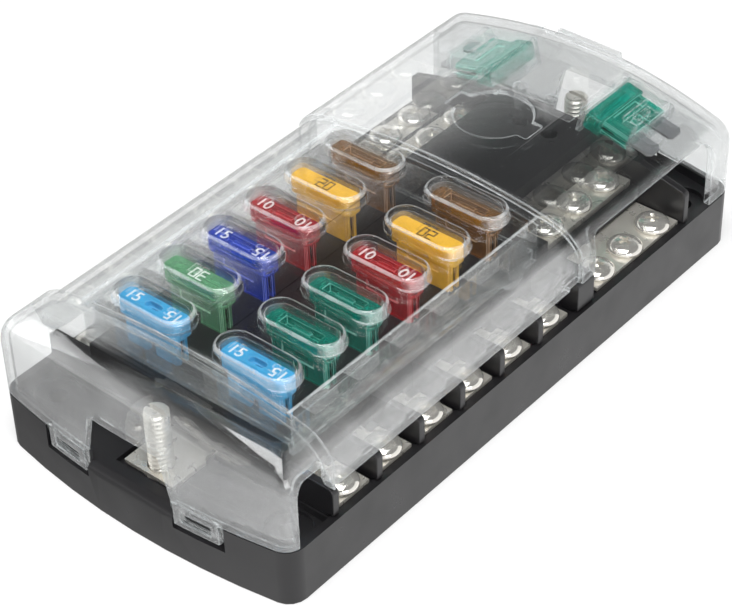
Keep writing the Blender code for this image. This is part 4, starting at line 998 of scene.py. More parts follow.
@dataclass
class BlackMouldings:
    """The tray and the fuse carrier, with the radii a mould leaves on edges."""

    bench: Bench
    finishes: Finishes
    tray_radius: float = 0.2 * MM
    carrier_radius: float = 0.25 * MM

    def build(self) -> None:
        """Rounds a copy of each CAD node's edges and places it.

        The tray's shortest edges hold its rounding back, because a free one
        twists the flat faces of its end bays.
        """
        for node, radius, clamp in (("base_tray", self.tray_radius, True),
                                    ("fuse_carrier", self.carrier_radius, False)):
            piece = self.bench.round_edges(self.bench.from_node(node), radius, clamp=clamp)
            self.bench.place(piece, f"{node}_moulding", HOUSING, BLACK, [self.finishes.nylon],
                             node, smooth=40.0)


# Metalwork


@dataclass
class ThreadedStud:
    """A nickel-plated stud with a rolled thread and a slotted top."""

    bench: Bench
    finishes: Finishes
    layout: Layout
    radius: float = 3.0 * MM
    pitch: float = 1.25 * MM
    depth: float = 0.62 * MM
    chamfer: float = 0.5 * MM
    chamfer_length: float = 0.9 * MM
    slot: float = 1.2 * MM
    slot_depth: float = 1.6 * MM
    head_radius: float = 4.55 * MM
    head: float = 3.6 * MM
    sides: int = 48

    def thread(self, low: float, high: float) -> Array:
        """Rings of the rolled thread, ten to each turn.

        The radius at height z and angle a is the crest's, less the depth
        times a rounded wave of z / pitch - a / (2 pi), and less a chamfer
        that grows over the last stretch below the top.

        Args:
            low: Height of the first ring.
            high: Height of the last one.

        Returns:
            The points by ring and angle.
        """
        levels = np.linspace(low, high, int((high - low) / self.pitch * 10) + 1)
        angles = np.linspace(0.0, 2 * math.pi, self.sides, endpoint=False)
        z, a = np.meshgrid(levels, angles, indexing="ij")
        phase = z / self.pitch - a / (2 * math.pi)
        wave = 0.5 - 0.5 * np.cos(2 * math.pi * phase)
        taper = np.clip((high - z) / self.chamfer_length, 0.0, 1.0)
        r = self.radius - self.depth * wave - self.chamfer * (1 - taper)
        return np.stack([r * np.cos(a), r * np.sin(a), z], axis=-1)

    def build(self, node: str, sign: int) -> None:
        """Places one stud with the hexagon head under its plate.

        Args:
            node: The CAD node of the stud.
            sign: -1 for the near end of the box and 1 for the far end.
        """
        low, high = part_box(node)
        stud = lofted(node, list(self.thread(low.z + self.head / 2, high.z)))
        faces = [(self.head_radius, low.z), (self.head_radius, low.z + self.head)]
        hexagon = moved(turned("head", np.array(faces), 6), spot(0, 0, 0, math.pi / 6))
        self.bench.join(stud, hexagon)
        reach = self.radius + MM
        self.bench.cut(stud, block("slot", (-reach, -self.slot / 2, high.z - self.slot_depth),
                                   (reach, self.slot / 2, high.z + MM)))
        moved(stud, spot(0, sign * self.layout.stud_y, 0))
        self.bench.place(stud, f"{node}_threaded", HOUSING, NICKEL, [self.finishes.nickel],
                         node, smooth=50.0)


@dataclass
class ClampScrew:
    """A domed pan-head screw with a combined cross and slot recess."""

    bench: Bench
    finishes: Finishes
    radius: float = 4.5 * MM
    rise: float = 2.4 * MM
    shank: float = 1.8 * MM
    length: float = 6.6 * MM
    cross: float = 3.9 * MM
    cross_width: float = 1.15 * MM
    depth: float = 1.3 * MM
    power: float = 0.85
    wall: float = 0.2
    bevel: float = 0.25 * MM
    tip: float = 0.05 * MM

    def solid(self) -> Piece:
        """The screw standing on z = 0.

        The head's profile is a short wall, then a quarter of a superellipse
        up to the crown: radius R cos(t)^0.85 at height h (w + (1 - w) sin(t)).

        Returns:
            The screw, its cross recess cut in.
        """
        t = np.linspace(0.0, QUARTER, 14)[:-1]
        under = [(self.tip, -self.length), (self.shank, 2 * self.bevel - self.length),
                 (self.shank, 0.0), (self.radius - self.bevel, 0.0), (self.radius, self.bevel)]
        dome = np.c_[self.radius * np.cos(t) ** self.power,
                     self.rise * (self.wall + (1 - self.wall) * np.sin(t))]
        crown = [(0.1 * self.radius, self.rise), (self.tip, self.rise)]
        screw = turned("screw", np.vstack([under, dome, crown]), 40)
        arms = []
        for size in ((self.cross, self.cross_width), (self.cross_width, self.cross)):
            half = np.array(size) / 2
            low = rounded(-half * 0.6, half * 0.6, 0.1 * MM, 2)
            top = rounded(-half, half, 0.25 * MM, 2)
            arms.append(lofted("arm", [at_height(low, self.rise - self.depth),
                                       at_height(top, self.rise + 0.4 * MM)]))
        return self.bench.cut(screw, self.bench.join(*arms))

    def build_loads(self) -> None:
        """Places the twelve load screws, each turned its own way."""
        screw = self.solid()
        for side, sign in SIDES.items():
            for row in range(1, 7):
                node = f"load_screw_{side}_{row}"
                low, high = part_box(node)
                middle = (low + high) / 2
                turn = math.radians(31 * row + 17 * sign)
                piece = copy_of(screw, node, spot(middle.x, middle.y, high.z - self.rise, turn))
                self.bench.place(piece, f"{node}_domed", HOUSING, NICKEL, [self.finishes.bright],
                                 node)


@dataclass
class NegativeBus:
    """The folded two-tier bus, its sheet softened, under twelve domed screws."""

    bench: Bench
    finishes: Finishes
    screw: ClampScrew
    tier_x: float = 22.4 * MM
    tier_z: float = 22.0 * MM
    strip_z: float = 16.0 * MM
    first_y: float = 34.35 * MM
    pitch: float = 11.6 * MM
    reach: float = 4.75 * MM
    headroom: float = 4 * MM
    soft: float = 0.15 * MM

    def seats(self) -> list[tuple[float, float, float]]:
        """Middle of each screw's seat on the outer strips and inner tiers.

        Returns:
            The (x, y, z) of each seat.
        """
        low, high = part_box("load_screw_right_1")
        columns = (((low.x + high.x) / 2, self.strip_z), (self.tier_x, self.tier_z))
        return [(sign * x, self.first_y + row * self.pitch, z)
                for sign in (-1, 1) for x, z in columns for row in range(3)]

    def build(self) -> None:
        """Clears the seats of a copy of the CAD sheet and sets the screws on them."""
        sheet = self.bench.from_node("negative_bus")
        reach = self.reach
        clearings = [block("clearing", (x - reach, y - reach, z),
                           (x + reach, y + reach, z + self.headroom)) for x, y, z in self.seats()]
        self.bench.tidy(self.bench.cut(sheet, *clearings))
        self.bench.round_edges(sheet, self.soft)
        self.bench.place(sheet, "negative_bus_sheet", HOUSING, NICKEL, [self.finishes.nickel],
                         "negative_bus")
        screw = self.screw.solid()
        for number, (x, y, z) in enumerate(self.seats()):
            piece = copy_of(screw, "bus_screw", spot(x, y, z, math.radians(47 * number + 20)))
            self.bench.place(piece, f"bus_screw_{number + 1}", HOUSING, NICKEL,
                             [self.finishes.bright])


@dataclass
class Metalwork:
    """The stamped plates, kept as the frame has them, with their own finish."""

    finishes: Finishes

    def build(self) -> None:
        """Dresses the CAD nodes that stay in view."""
        for name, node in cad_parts.items():
            if "element" in name:
                dress(node, [self.finishes.zinc])
            elif name.startswith(("load_terminal", "positive_bus")):
                dress(node, [self.finishes.nickel])


# Fuses


class Head(Enum):
    """How a fuse's head is finished: plain, with a slot, or with a window."""

    PLAIN = "plain"
    SLOT = "slot"
    WINDOW = "window"


HEADS = {
    Rating.LIGHT_BLUE: Head.SLOT, Rating.GREEN: Head.PLAIN, Rating.YELLOW: Head.PLAIN,
    Rating.DARK_BLUE: Head.WINDOW, Rating.RED: Head.WINDOW, Rating.BROWN: Head.WINDOW,
    Rating.TEAL: Head.WINDOW,
}
SEGMENTS = {"0": "abcdef", "2": "abged", "3": "abgcd"}


@dataclass
class BladeFuse:
    """A regular blade fuse's body with its printed rating.

    The body stands on z = 0 with its length along X: a head with rounded
    ends over a narrower neck that is fluted at both ends.
    """

    bench: Bench
    finishes: Finishes
    layout: Layout
    head_height: float = 4.6 * MM
    end_radius: float = 1.5 * MM
    edge: float = 0.45 * MM
    neck_length: float = 16.2 * MM
    neck_width: float = 4.0 * MM
    flute: float = 1.2 * MM
    flute_depth: float = 0.8 * MM
    leg_gap: float = 2.6 * MM
    leg_height: float = 3.4 * MM
    room_half_width: float = 0.65 * MM
    soft: float = 0.15 * MM
    number_x: float = 6.1 * MM
    number_size: float = 4.3 * MM
    ink: float = 0.03 * MM
    bodies: dict[Head, Piece] = field(default_factory=dict)

    @property
    def height(self) -> float:
        """Height of the whole body."""
        return self.layout.fuse_top - self.layout.fuse_base

    def head(self) -> Piece:
        """The head: one rounded outline carried up, its rims quarter round.

        Ring k lies e (1 - cos t_k) inside the outline at height h - e (1 - sin t_k),
        above a small chamfer at the foot.

        Returns:
            The solid.
        """
        half = np.array([self.layout.fuse_length, self.layout.fuse_width]) / 2
        low, chamfer = self.height - self.head_height, 0.25 * MM
        t = np.linspace(0.0, QUARTER, 6)
        insets = np.concatenate([[chamfer, 0.0], self.edge * (1 - np.cos(t))])
        heights = np.concatenate([[low, low + chamfer], self.height - self.edge * (1 - np.sin(t))])
        radii = self.end_radius - insets * 0.8
        return lofted("head", [at_height(rounded(i - half, half - i, radius, 8), z)
                               for i, radius, z in zip(insets, radii, heights)])

    def neck(self) -> Piece:
        """The fluted neck under the head, with the gap between its legs.

        Returns:
            The solid, with a shallow panel sunk into each broad side.
        """
        half_x, half_y, flute = self.neck_length / 2, self.neck_width / 2, self.flute / 2
        deep = half_x - self.flute_depth
        step, sunk = 0.5 * MM, 0.3 * MM
        right = np.array([
            (half_x - step, -half_y), (half_x - step, -half_y + step), (half_x, -half_y + step),
            (half_x, -flute), (deep, -flute), (deep, flute), (half_x, flute),
            (half_x, half_y - step), (half_x - step, half_y - step), (half_x - step, half_y)])
        outline = np.vstack([right, -right])
        neck = carried("neck", outline, 0.0, self.height - self.head_height + 0.4 * MM)
        half_gap, half_panel = self.leg_gap / 2, 4.6 * MM
        cuts = [block("gap", (-half_gap, -half_y - MM, -MM),
                      (half_gap, half_y + MM, self.leg_height))]
        for sign in (-1, 1):
            ys = span(sign, half_y - sunk, half_y + sunk)
            cuts.append(block("panel", (-half_panel, ys[0], 4.4 * MM),
                              (half_panel, ys[1], 7 * MM)))
        return self.bench.cut(neck, *cuts)

    def middle_block(self, name: str, half_x: float, half_y: float, low: float,
                     high: float) -> Piece:
        """A box about the fuse's own Z axis, between two heights."""
        return block(name, (-half_x, -half_y, low), (half_x, half_y, high))

    def openings(self, head: Head) -> list[Piece]:
        """Cutters for the hollow that holds the link, and for a head's openings.

        Args:
            head: The kind of head.

        Returns:
            The cutters.
        """
        top = self.height
        half_room = self.layout.blade_pitch / 2 + 2.8 * MM
        cuts = [self.middle_block("room", half_room, self.room_half_width, -MM, top - 3.6 * MM)]
        if head is Head.SLOT:
            for x, length, width, deep in ((0.0, 4.8 * MM, 1.9 * MM, 1.5 * MM),
                                           (0.3 * MM, 3.4 * MM, 1.3 * MM, 4.2 * MM)):
                outline = stadium((x, 0), length, width, 8)
                cuts.append(carried("slot", outline, top - deep, top + MM))
        if head is Head.WINDOW:
            cuts.append(self.middle_block("window", 5.6 * MM, 1.3 * MM, top - 2.2 * MM, top + MM))
        return cuts

    def body(self, head: Head) -> Piece:
        """One body of each kind of head, made once and copied after.

        Args:
            head: The kind of head.

        Returns:
            The body at the origin.
        """
        if head not in self.bodies:
            body = self.bench.join(self.head(), self.neck())
            self.bench.cut(body, *self.openings(head))
            if head is Head.WINDOW:
                top = self.height
                self.bench.join(body, self.middle_block("bar", 2.6 * MM, 0.6 * MM,
                                                        top - 2.6 * MM, top - 0.5 * MM))
            self.bench.tidy(body)
            dress(body, self.finishes.dyed[Rating.TEAL])
            # The rounded edges take slot 1, with its painted pale highlight.
            self.bodies[head] = self.bench.round_edges(body, self.soft, 50.0, material=1,
                                                       clamp=False)
        return self.bodies[head]

    def segment_number(self, text: str) -> Piece:
        """A number of seven-segment strokes, each stroke a thin slab.

        Args:
            text: The number.

        Returns:
            The number lying on z = 0 about the origin.
        """
        wide, tall, half = 1.5 * MM, 3.0 * MM, 0.21 * MM
        middle, step = tall / 2, 2.2 * MM
        spans = {"a": (0, wide, tall, tall), "d": (0, wide, 0, 0), "g": (0, wide, middle, middle),
                 "b": (wide, wide, middle, tall), "c": (wide, wide, 0, middle),
                 "e": (0, 0, 0, middle), "f": (0, 0, middle, tall)}
        start = -((len(text) - 1) * step + wide) / 2
        slabs = []
        for place, digit in enumerate(text):
            shift = start + place * step
            for letter in SEGMENTS[digit]:
                x_low, x_high, y_low, y_high = spans[letter]
                slabs.append(block("stroke", (shift + x_low - half, y_low - middle - half, 0.0),
                                   (shift + x_high + half, y_high - middle + half, self.ink)))
        return self.bench.join(*slabs)

    def round_number(self, text: str) -> Piece:
        """A number in plain upright type, as thin raised print.

        Args:
            text: The number.

        Returns:
            The number lying on z = 0 about the origin.
        """
        curve = bpy.data.curves.new("number", "FONT")
        curve.body, curve.size, curve.extrude = text, self.number_size, self.ink / 2
        curve.offset = 0.05 * MM
        curve.align_x, curve.align_y = "CENTER", "CENTER"
        mesh = self.bench.evaluated(bpy.data.objects.new("type", curve))
        return moved(bpy.data.objects.new("number", mesh), spot(0, 0, self.ink / 2))

    def rating(self, rating: Rating, turned_round: bool) -> Piece | None:
        """The printed rating on the head's top, in the fuse's own axes.

        Args:
            rating: The fuse's rating.
            turned_round: Whether a number in the middle reads from the far side.

        Returns:
            One number in the middle of a plain head, one at each end of
            another, or None where nothing is printed.
        """
        if not rating.number:
            return None
        if HEADS[rating] is Head.PLAIN:
            turn = math.pi if turned_round else 0.0
            return moved(self.segment_number(rating.number), spot(0, 0, self.height, turn))
        return self.merged([
            moved(self.round_number(rating.number), spot(x, 0, self.height, turn))
            for x, turn in ((-self.number_x, 0.0), (self.number_x, math.pi))])

    def merged(self, pieces: Sequence[Piece]) -> Piece:
        """Puts several loose meshes into one object.

        Args:
            pieces: The objects.

        Returns:
            A new object with all their faces.
        """
        graph = bmesh.new()
        for piece in pieces:
            graph.from_mesh(piece.data)
        mesh = bpy.data.meshes.new("merged")
        graph.to_mesh(mesh)
        graph.free()
        return bpy.data.objects.new("merged", mesh)

    def build_row(self, side: str, row: int, rating: Rating) -> None:
        """Places one fuse of the two rows with its printed rating.

        Args:
            side: Left or right.
            row: Row number from the near end.
            rating: The fuse's rating.
        """
        node = f"fuse_body_{side}_{row}"
        place = spot(SIDES[side] * self.layout.column_x, self.layout.row_ys[row - 1],
                     self.layout.fuse_base)
        body = copy_of(self.body(HEADS[rating]), node, place)
        self.bench.place(body, f"{node}_moulded", HOUSING, rating.slot,
                         self.finishes.dyed[rating], node)
        is_yellow = rating is Rating.YELLOW
        number = self.rating(rating, rating is Rating.GREEN or (is_yellow and side == "right"))
        if number is not None:
            ink = self.finishes.black_ink if is_yellow else self.finishes.white_ink
            self.bench.place(moved(number, place), f"fuse_rating_{side}_{row}", HOUSING,
                             rating.slot, [ink], smooth=40.0)

    def build_spare(self, side: str, place: Matrix) -> None:
        """Places one spare fuse that the cover carries.

        Args:
            side: Left or right.
            place: Where the cover holds it.
        """
        node = f"spare_fuse_body_{side}"
        body = copy_of(self.body(Head.WINDOW), node, place)
        self.bench.place(body, f"{node}_moulded", COVER, Rating.TEAL.slot,
                         self.finishes.dyed[Rating.TEAL], node)


# The clear cover


@dataclass
class ClearCover:
    """The lift-off cover: one clear moulding of real wall thickness."""

    bench: Bench
    finishes: Finishes
    layout: Layout
    wall: float = 1.8 * MM
    shoulder: float = 8 * MM
    shoulder_z: float = 30 * MM
    crown_drop: float = 3.3 * MM
    corner: float = 2.2 * MM
    middle_inset: float = 1.2 * MM
    front_end_y: float = -68.5 * MM
    far_start_y: float = 19.5 * MM
    divider_top: float = 22.9 * MM
    panel_half: float = 30.5 * MM
    panel_step: float = 0.4 * MM
    skirt_inner: float = 29.8 * MM
    skirt_wall: float = 1.5 * MM
    bump_length: float = 23.2 * MM
    bump_width: float = 10.4 * MM
    bump_top: float = 41.1 * MM
    bump_wall: float = 1.1 * MM
    rim: float = 1.0 * MM
    draft: float = 0.35 * MM
    foot: float = 37.4 * MM
    tab_drop: float = 5.6 * MM
    edge: float = 0.3 * MM
    steps: int = 12

    @property
    def bottom(self) -> float:
        """Height of the cover's lower edge over the tray's rim."""
        return self.layout.tray_top + GAP

    def crown(self, x: Array | float) -> Array | float:
        """Height of the roof: its top less a share that grows as x squared."""
        share = x / (self.layout.half_width - self.shoulder)
        return self.layout.roof_top - self.crown_drop * share ** 2

    def pillow(self, inset: float, low: float) -> Piece:
        """A closed solid of the cover's outer form moved in by inset.

        Ring k is the plan outline moved in by S (1 - cos a_k), at height
        z = Z + (crown(x) - inset - Z) sin a_k, a quarter ellipse at the
        shoulder. Strips along Y between points of equal x close the roof,
        which curves only across the width.

        Args:
            inset: How far the form lies inside the outer one.
            low: Height of its flat bottom.

        Returns:
            The solid.
        """
        plan = self.layout.outline(inset)
        rings = [at_height(plan, low)]
        for angle in np.linspace(0.0, QUARTER, self.steps + 1):
            ring = self.layout.outline(inset + self.shoulder * (1 - math.cos(angle)), self.corner)
            rise = (self.crown(ring[:, 0]) - inset - self.shoulder_z) * math.sin(angle)
            rings.append(at_height(ring, self.shoulder_z + rise))
        count = len(plan)
        top, half = (len(rings) - 1) * count, (count + 2) // 2
        i = np.arange(half // 2 - 1)
        right = np.stack([i, i + 1, half - 2 - i, half - 1 - i], axis=-1)
        left = -right[:, [1, 0, 3, 2]] % count
        roof = [tuple(quad) for quad in (top + np.vstack([right, left])).tolist()]
        faces = grid_faces(len(rings), count) + [tuple(range(count))[::-1]] + roof
        return mesh_object("pillow", np.vstack(rings), faces)

    def half_section(self, inset: float, step: float) -> Array:
        """Right half of the middle's outer or inner line, bottom to top.

        Args:
            inset: How far the line lies inside the ends' outer form.
            step: How far the panel lies below the roof beside it.

        Returns:
            The (x, z) points, the last one on the middle line.
        """
        angles = np.linspace(0.0, QUARTER, self.steps + 1)
        half = self.layout.half_width - inset
        x = half - self.shoulder * (1 - np.cos(angles))
        z = self.shoulder_z + (self.crown(x) - inset - self.shoulder_z) * np.sin(angles)
        lines = [(half, self.divider_top + GAP), np.c_[x, z]]
        if step:
            rim = self.panel_half + step
            lines.append((rim, self.crown(rim) - inset))
        across = np.linspace(self.panel_half, 0.0, 16)
        lines.append(np.c_[across, self.crown(across) - inset - step])
        return np.vstack(lines)

    def middle(self) -> Piece:
        """The inset middle: one wall section drawn in (x, z), carried along Y.

        Returns:
            The solid, which reaches into both ends.
        """
        outer = mirrored(self.half_section(self.middle_inset, self.panel_step))
        inner = mirrored(self.half_section(self.middle_inset + self.wall, 0.0))
        overlap = 1.5 * MM
        return carried("middle", np.vstack([outer, inner[::-1]]), self.front_end_y - overlap,
                       self.far_start_y + overlap, "Y")

    def end(self, sign: int) -> Piece:
        """One end of the cover: the pillow shell beyond its inner edge.

        Args:
            sign: -1 for the near end, 1 for the far one.

        Returns:
            The shell.
        """
        edge = self.front_end_y if sign < 0 else self.far_start_y
        shell = self.pillow(0.0, self.bottom)
        self.bench.cut(shell, self.pillow(self.wall, self.bottom - MM))
        ys = sorted((edge, sign * (self.layout.half_length + MM)))
        slab = block("slab", (-60 * MM, ys[0], 0.0), (60 * MM, ys[1], 60 * MM))
        return self.bench.combine(shell, "INTERSECT", [slab])

    def cross_wall(self, y: float, buried: float) -> Piece:
        """A wall across the box whose top follows the roof.

        Args:
            y: Where its near face lies.
            buried: How far its top lies below the roof's outer face.

        Returns:
            The wall.
        """
        half, low = self.skirt_inner + 0.5 * MM, 28 * MM
        across = np.linspace(half, -half, 25)
        outline = np.vstack([(-half, low), (half, low),
                             np.c_[across, self.crown(across) - buried]])
        return carried("cross_wall", outline, y, y + self.skirt_wall, "Y")

    def skirt(self) -> list[Piece]:
        """The four walls that hang inside the panel's edge, and two tongues.

        Returns:
            The walls across the box and those along it.
        """
        buried = self.middle_inset + self.panel_step + 0.6 * MM
        outer = self.skirt_inner + self.skirt_wall
        front, far = self.front_end_y + 0.8 * MM, self.far_start_y - 0.9 * MM
        top, low = float(self.crown(outer)) - buried, 25.5 * MM
        half, tongue = 4.4 * MM, 22.5 * MM
        drop = arc((self.layout.row_ys[-1] - 1.8 * MM, tongue + half), half,
                   2 * QUARTER, 4 * QUARTER, 18)
        outline = np.vstack([(front, top), (front, low), (drop[0][0], low), drop[1:-1],
                             (drop[-1][0], low), (far, low), (far, top)])
        walls = [self.cross_wall(y, buried) for y in (front, far - self.skirt_wall)]
        for side in (-1, 1):
            xs = span(side, self.skirt_inner, outer)
            walls.append(carried("skirt_side", outline, *xs, "X"))
        return walls

    def bump(self, at: Point, shrink: float, low: float, top: float, rim: float) -> Piece:
        """A stadium carried up with a small draft and a quarter-round rim.

        Args:
            at: Middle of the stadium.
            shrink: How far its outline lies inside the bump's.
            low: Height of its bottom.
            top: Height of its flat top.
            rim: Radius of the rim.

        Returns:
            The solid.
        """
        t = np.linspace(0.0, QUARTER, 6)
        cuts = 2 * (shrink + np.concatenate([[0.0], self.draft + rim * (1 - np.cos(t))]))
        heights = np.concatenate([[low], top - rim * (1 - np.sin(t))])
        return lofted("bump", [
            at_height(stadium(at, self.bump_length - cut, self.bump_width - cut, 14), z)
            for cut, z in zip(cuts, heights)])

    def bump_places(self) -> list[tuple[float, float]]:
        """Middle of the raised window over each fuse."""
        return [(side * self.layout.column_x, y) for side in (-1, 1) for y in self.layout.row_ys]

    def openings(self) -> list[Piece]:
        """Cutters for the open sides of the two end sections.

        Returns:
            Two cutters on each side.
        """
        low, radius, small = self.bottom - MM, 3 * MM, MM
        leg, top, sill = -80.3 * MM, 32.6 * MM, self.divider_top + GAP
        lip, edge = self.front_end_y - 3.2 * MM, self.front_end_y + 3 * MM
        front = np.vstack([
            (leg, low), arc((leg + radius, top - radius), radius, 2 * QUARTER, QUARTER, 8),
            arc((lip - small, top - small), small, QUARTER, 0.0, 5),
            (self.front_end_y - 0.6 * MM, sill + 0.8 * MM), (edge, sill), (edge, low)])
        start, far_leg, far_top = 24.75 * MM, 73.5 * MM, 34.4 * MM
        far_edge = self.far_start_y - 3 * MM
        far = np.vstack([
            (far_edge, low), (far_edge, 24 * MM), (start, 24.3 * MM),
            arc((start + radius, far_top - radius), radius, 2 * QUARTER, QUARTER, 8),
            arc((far_leg - radius, far_top - radius), radius, QUARTER, 0.0, 8), (far_leg, low)])
        return [carried(name, outline, *span(side, 30 * MM, 50 * MM), "X") for side in (-1, 1)
                for name, outline in (("front_opening", front), ("far_opening", far))]

    def through_end(self, name: str, outline: Array, sign: int) -> Piece:
        """A cutter along Y through one of the two bowed end walls."""
        reach = self.layout.half_length
        return carried(name, outline, *span(sign, reach - 8 * MM, reach + 2 * MM), "Y")

    def exits(self) -> list[Piece]:
        """The tall opening over each stud, narrower at its rounded top.

        Returns:
            Two cutters.
        """
        bottom, top, high, radius = 13.3 * MM, 10.7 * MM, 27.6 * MM, 1.2 * MM
        corner = arc((top - radius, high - radius), radius, 0.0, QUARTER, 5)
        right = np.vstack([(bottom, self.bottom - MM), corner])
        outline = np.vstack([right, right[::-1] * (-1, 1)])
        return [self.through_end("exit", outline, sign) for sign in (-1, 1)]

    def tabs(self) -> tuple[list[Piece], list[Piece]]:
        """The four snap tabs on the bowed ends, and the windows through them.

        Returns:
            The tabs and the cutters of their windows.
        """
        tabs, windows = [], []
        wall, low = 1.6 * MM, self.bottom - self.tab_drop
        half = np.array([4 * MM, 1.3 * MM])
        for sign in (-1, 1):
            for side in (-1, 1):
                xs = np.linspace(side * 13.3 * MM, side * 25.8 * MM, 12)
                outer = np.c_[xs, self.layout.face_y(xs, sign)]
                inner = np.c_[xs, self.layout.face_y(xs, sign, wall)]
                outline = np.vstack([outer, inner[::-1]])
                tabs.append(carried("tab", outline, low, self.bottom + MM))
                middle = np.array([side * 19.55 * MM, self.bottom - self.tab_drop / 2])
                hole = rounded(middle - half, middle + half, 0.3 * MM, 3)
                windows.append(self.through_end("window", hole, sign))
        return tabs, windows

    def spare_frame(self, side: int) -> Matrix:
        """Takes a fuse's own axes to a spare's place: head inwards, blades out.

        Args:
            side: -1 for the left spare, 1 for the right one.

        Returns:
            The placing matrix.
        """
        tilt, length = math.radians(13), 12.3 * MM
        lean = Matrix.Rotation(tilt - QUARTER, 4, "Y") @ Matrix.Rotation(QUARTER, 4, "Z")
        out = 14.6 * MM + length * math.cos(tilt)
        up = 36 * MM - length * math.sin(tilt)
        turn = Matrix.Rotation(math.pi if side < 0 else 0.0, 4, "Z")
        return turn @ Matrix.Translation((out, side * 69.2 * MM, up)) @ lean

    def spare_holders(self) -> tuple[list[Piece], list[Piece]]:
        """Ribs, saddles and blade bars under the far roof, and their slots.

        Returns:
            The holders and the cutters of their slots.
        """
        pieces, slots = [], []
        half, head = self.layout.fuse_length / 2, 12.6 * MM
        under, over = 2.85 * MM, 2.3 * MM
        for side in (-1, 1):
            place = self.spare_frame(side)
            shapes = [
                block("rib", (-half, -3.6 * MM, head), (half, under + 1.4 * MM, head + 1.4 * MM)),
                block("lip", (-half / 2, under, head - 3 * MM),
                      (half / 2, under + 1.3 * MM, head + 0.5 * MM)),
                carried("bar", stadium((0, -1.65 * MM), 2 * half, 7.7 * MM, 8), -1.7 * MM, -GAP),
                block("saddle", (-5.25 * MM, -5 * MM, -0.8 * MM), (5.25 * MM, -over, 4.3 * MM))]
            cuts = [block("saddle_hole", (-2.85 * MM, -3.8 * MM, 1.2 * MM),
                          (2.85 * MM, 0.0, 3.1 * MM))]
            cuts += [block("blade_slot", (x - 2.8 * MM, -0.65 * MM, -3.1 * MM),
                           (x + 2.8 * MM, 0.65 * MM, 0.0)) for x in (-4.6 * MM, 4.6 * MM)]
            pieces += [moved(shape, place) for shape in shapes]
            slots += [moved(cut, place) for cut in cuts]
        return pieces, slots

    def recess(self) -> tuple[Piece, Piece, Piece]:
        """The sloped recess over the negative stud, its pad and its low grip.

        Returns:
            The pad and the grip to join, and the cutter of the recess.
        """
        half, slope, start, floor = 12.8 * MM, 1.8 * MM, 55.3 * MM, 40.3 * MM
        grip_start, grip_half, outer = 81.2 * MM, 9.7 * MM, half + slope
        pad = block("pad", (-outer, start - slope, floor - 1.5 * MM),
                    (outer, grip_start + 0.8 * MM, floor + 0.3 * MM))
        plan = rounded((-grip_half, grip_start), (grip_half, grip_start + 2 * MM), 0.8 * MM)
        grip = carried("grip", plan, 39.2 * MM, self.layout.roof_top + 0.5 * MM)
        rings = []
        for z, grow in ((floor, 0.0), (floor + 2 * MM, 2 * slope)):
            plan = rounded((-half - grow, start - grow), (half + grow, grip_start + 0.01 * MM),
                           MM, 5)
            rings.append(at_height(plan, z))
        return pad, grip, lofted("recess", rings)

    def medallion(self) -> list[Piece]:
        """The shallow round recess in the far roof, with two ears.

        Returns:
            Two cutters.
        """
        y, floor, radius = 42.3 * MM, 40.7 * MM, 10 * MM
        disc = turned("disc", np.array([(radius, floor), (radius, 50 * MM)]), 64)
        ears = rounded((-12.5 * MM, y - 3.3 * MM), (12.5 * MM, y + 3.3 * MM), 0.6 * MM, 4)
        return [moved(disc, spot(0, y, 0)), carried("ears", ears, floor, 51 * MM)]

    def posts(self) -> list[Piece]:
        """Two thin round posts that hang from the roof.

        Returns:
            The posts.
        """
        x, radius = 4.6 * MM, 1.6 * MM
        ends = np.array([(radius, 25.2 * MM), (radius, float(self.crown(x)) - 1.2 * MM)])
        return [moved(turned("post", ends, 24), spot(side * x, 59.5 * MM, 0))
                for side in (-1, 1)]

    def paint_rim_highlights(self, cover: Piece) -> None:
        """Gives the raised windows' top rims the edges' painted highlight, and their feet not.

        A face belongs to a window if its middle lies in the window's box. It is
        on the rim if it is high up and its normal leans out.

        Args:
            cover: The finished moulding.
        """
        polygons = cover.data.polygons
        middles, normals = np.empty(3 * len(polygons)), np.empty(3 * len(polygons))
        slots = np.empty(len(polygons), dtype=np.int32)
        polygons.foreach_get("center", middles)
        polygons.foreach_get("normal", normals)
        polygons.foreach_get("material_index", slots)
        x, y, z = middles.reshape(-1, 3).T
        lean = normals.reshape(-1, 3)[:, 2]
        half_x, half_y = self.bump_length / 2 + self.edge, self.bump_width / 2 + self.edge
        inside = np.any([(abs(x - at[0]) < half_x) & (abs(y - at[1]) < half_y)
                         for at in self.bump_places()], axis=0)
        inside &= z > self.foot
        rim = inside & (z > self.bump_top - self.rim) & (lean > 0.4) & (lean < 0.93)
        slots[inside] = 0
        # Slot 1 carries the painted pale highlight.
        slots[rim] = 1
        polygons.foreach_set("material_index", slots)

    def build(self) -> None:
        """Moulds the cover and places it."""
        bench = self.bench
        cover = self.middle()
        bench.join(cover, self.end(-1), self.end(1))
        pad, grip, recess = self.recess()
        bumps = [self.bump(at, 0.0, self.foot, self.bump_top, self.rim)
                 for at in self.bump_places()]
        bench.join(cover, pad, *bumps)
        bench.cut(cover, recess)
        bench.join(cover, grip)
        rooms = [self.bump(at, self.bump_wall, 34 * MM, self.bump_top - self.bump_wall, 0.5 * MM)
                 for at in self.bump_places()]
        bench.cut(cover, *rooms)
        bench.cut(cover, *self.openings(), *self.exits(), *self.medallion())
        tabs, windows = self.tabs()
        holders, slots = self.spare_holders()
        bench.join(cover, *self.skirt())
        bench.join(cover, *tabs, *holders, *self.posts())
        bench.cut(cover, *windows, *slots)
        bench.tidy(cover, flat=0.1)
        finishes = [self.finishes.clear, self.finishes.clear_painted_edge]
        dress(cover, finishes)
        # The rounded edges take slot 1, with its painted pale highlight.
        bench.round_edges(cover, self.edge, material=1, clamp=False)
        self.paint_rim_highlights(cover)
        bench.place(cover, "clear_cover_moulding", COVER, CLEAR, finishes, "clear_cover",
                    smooth=40.0)


# Studio


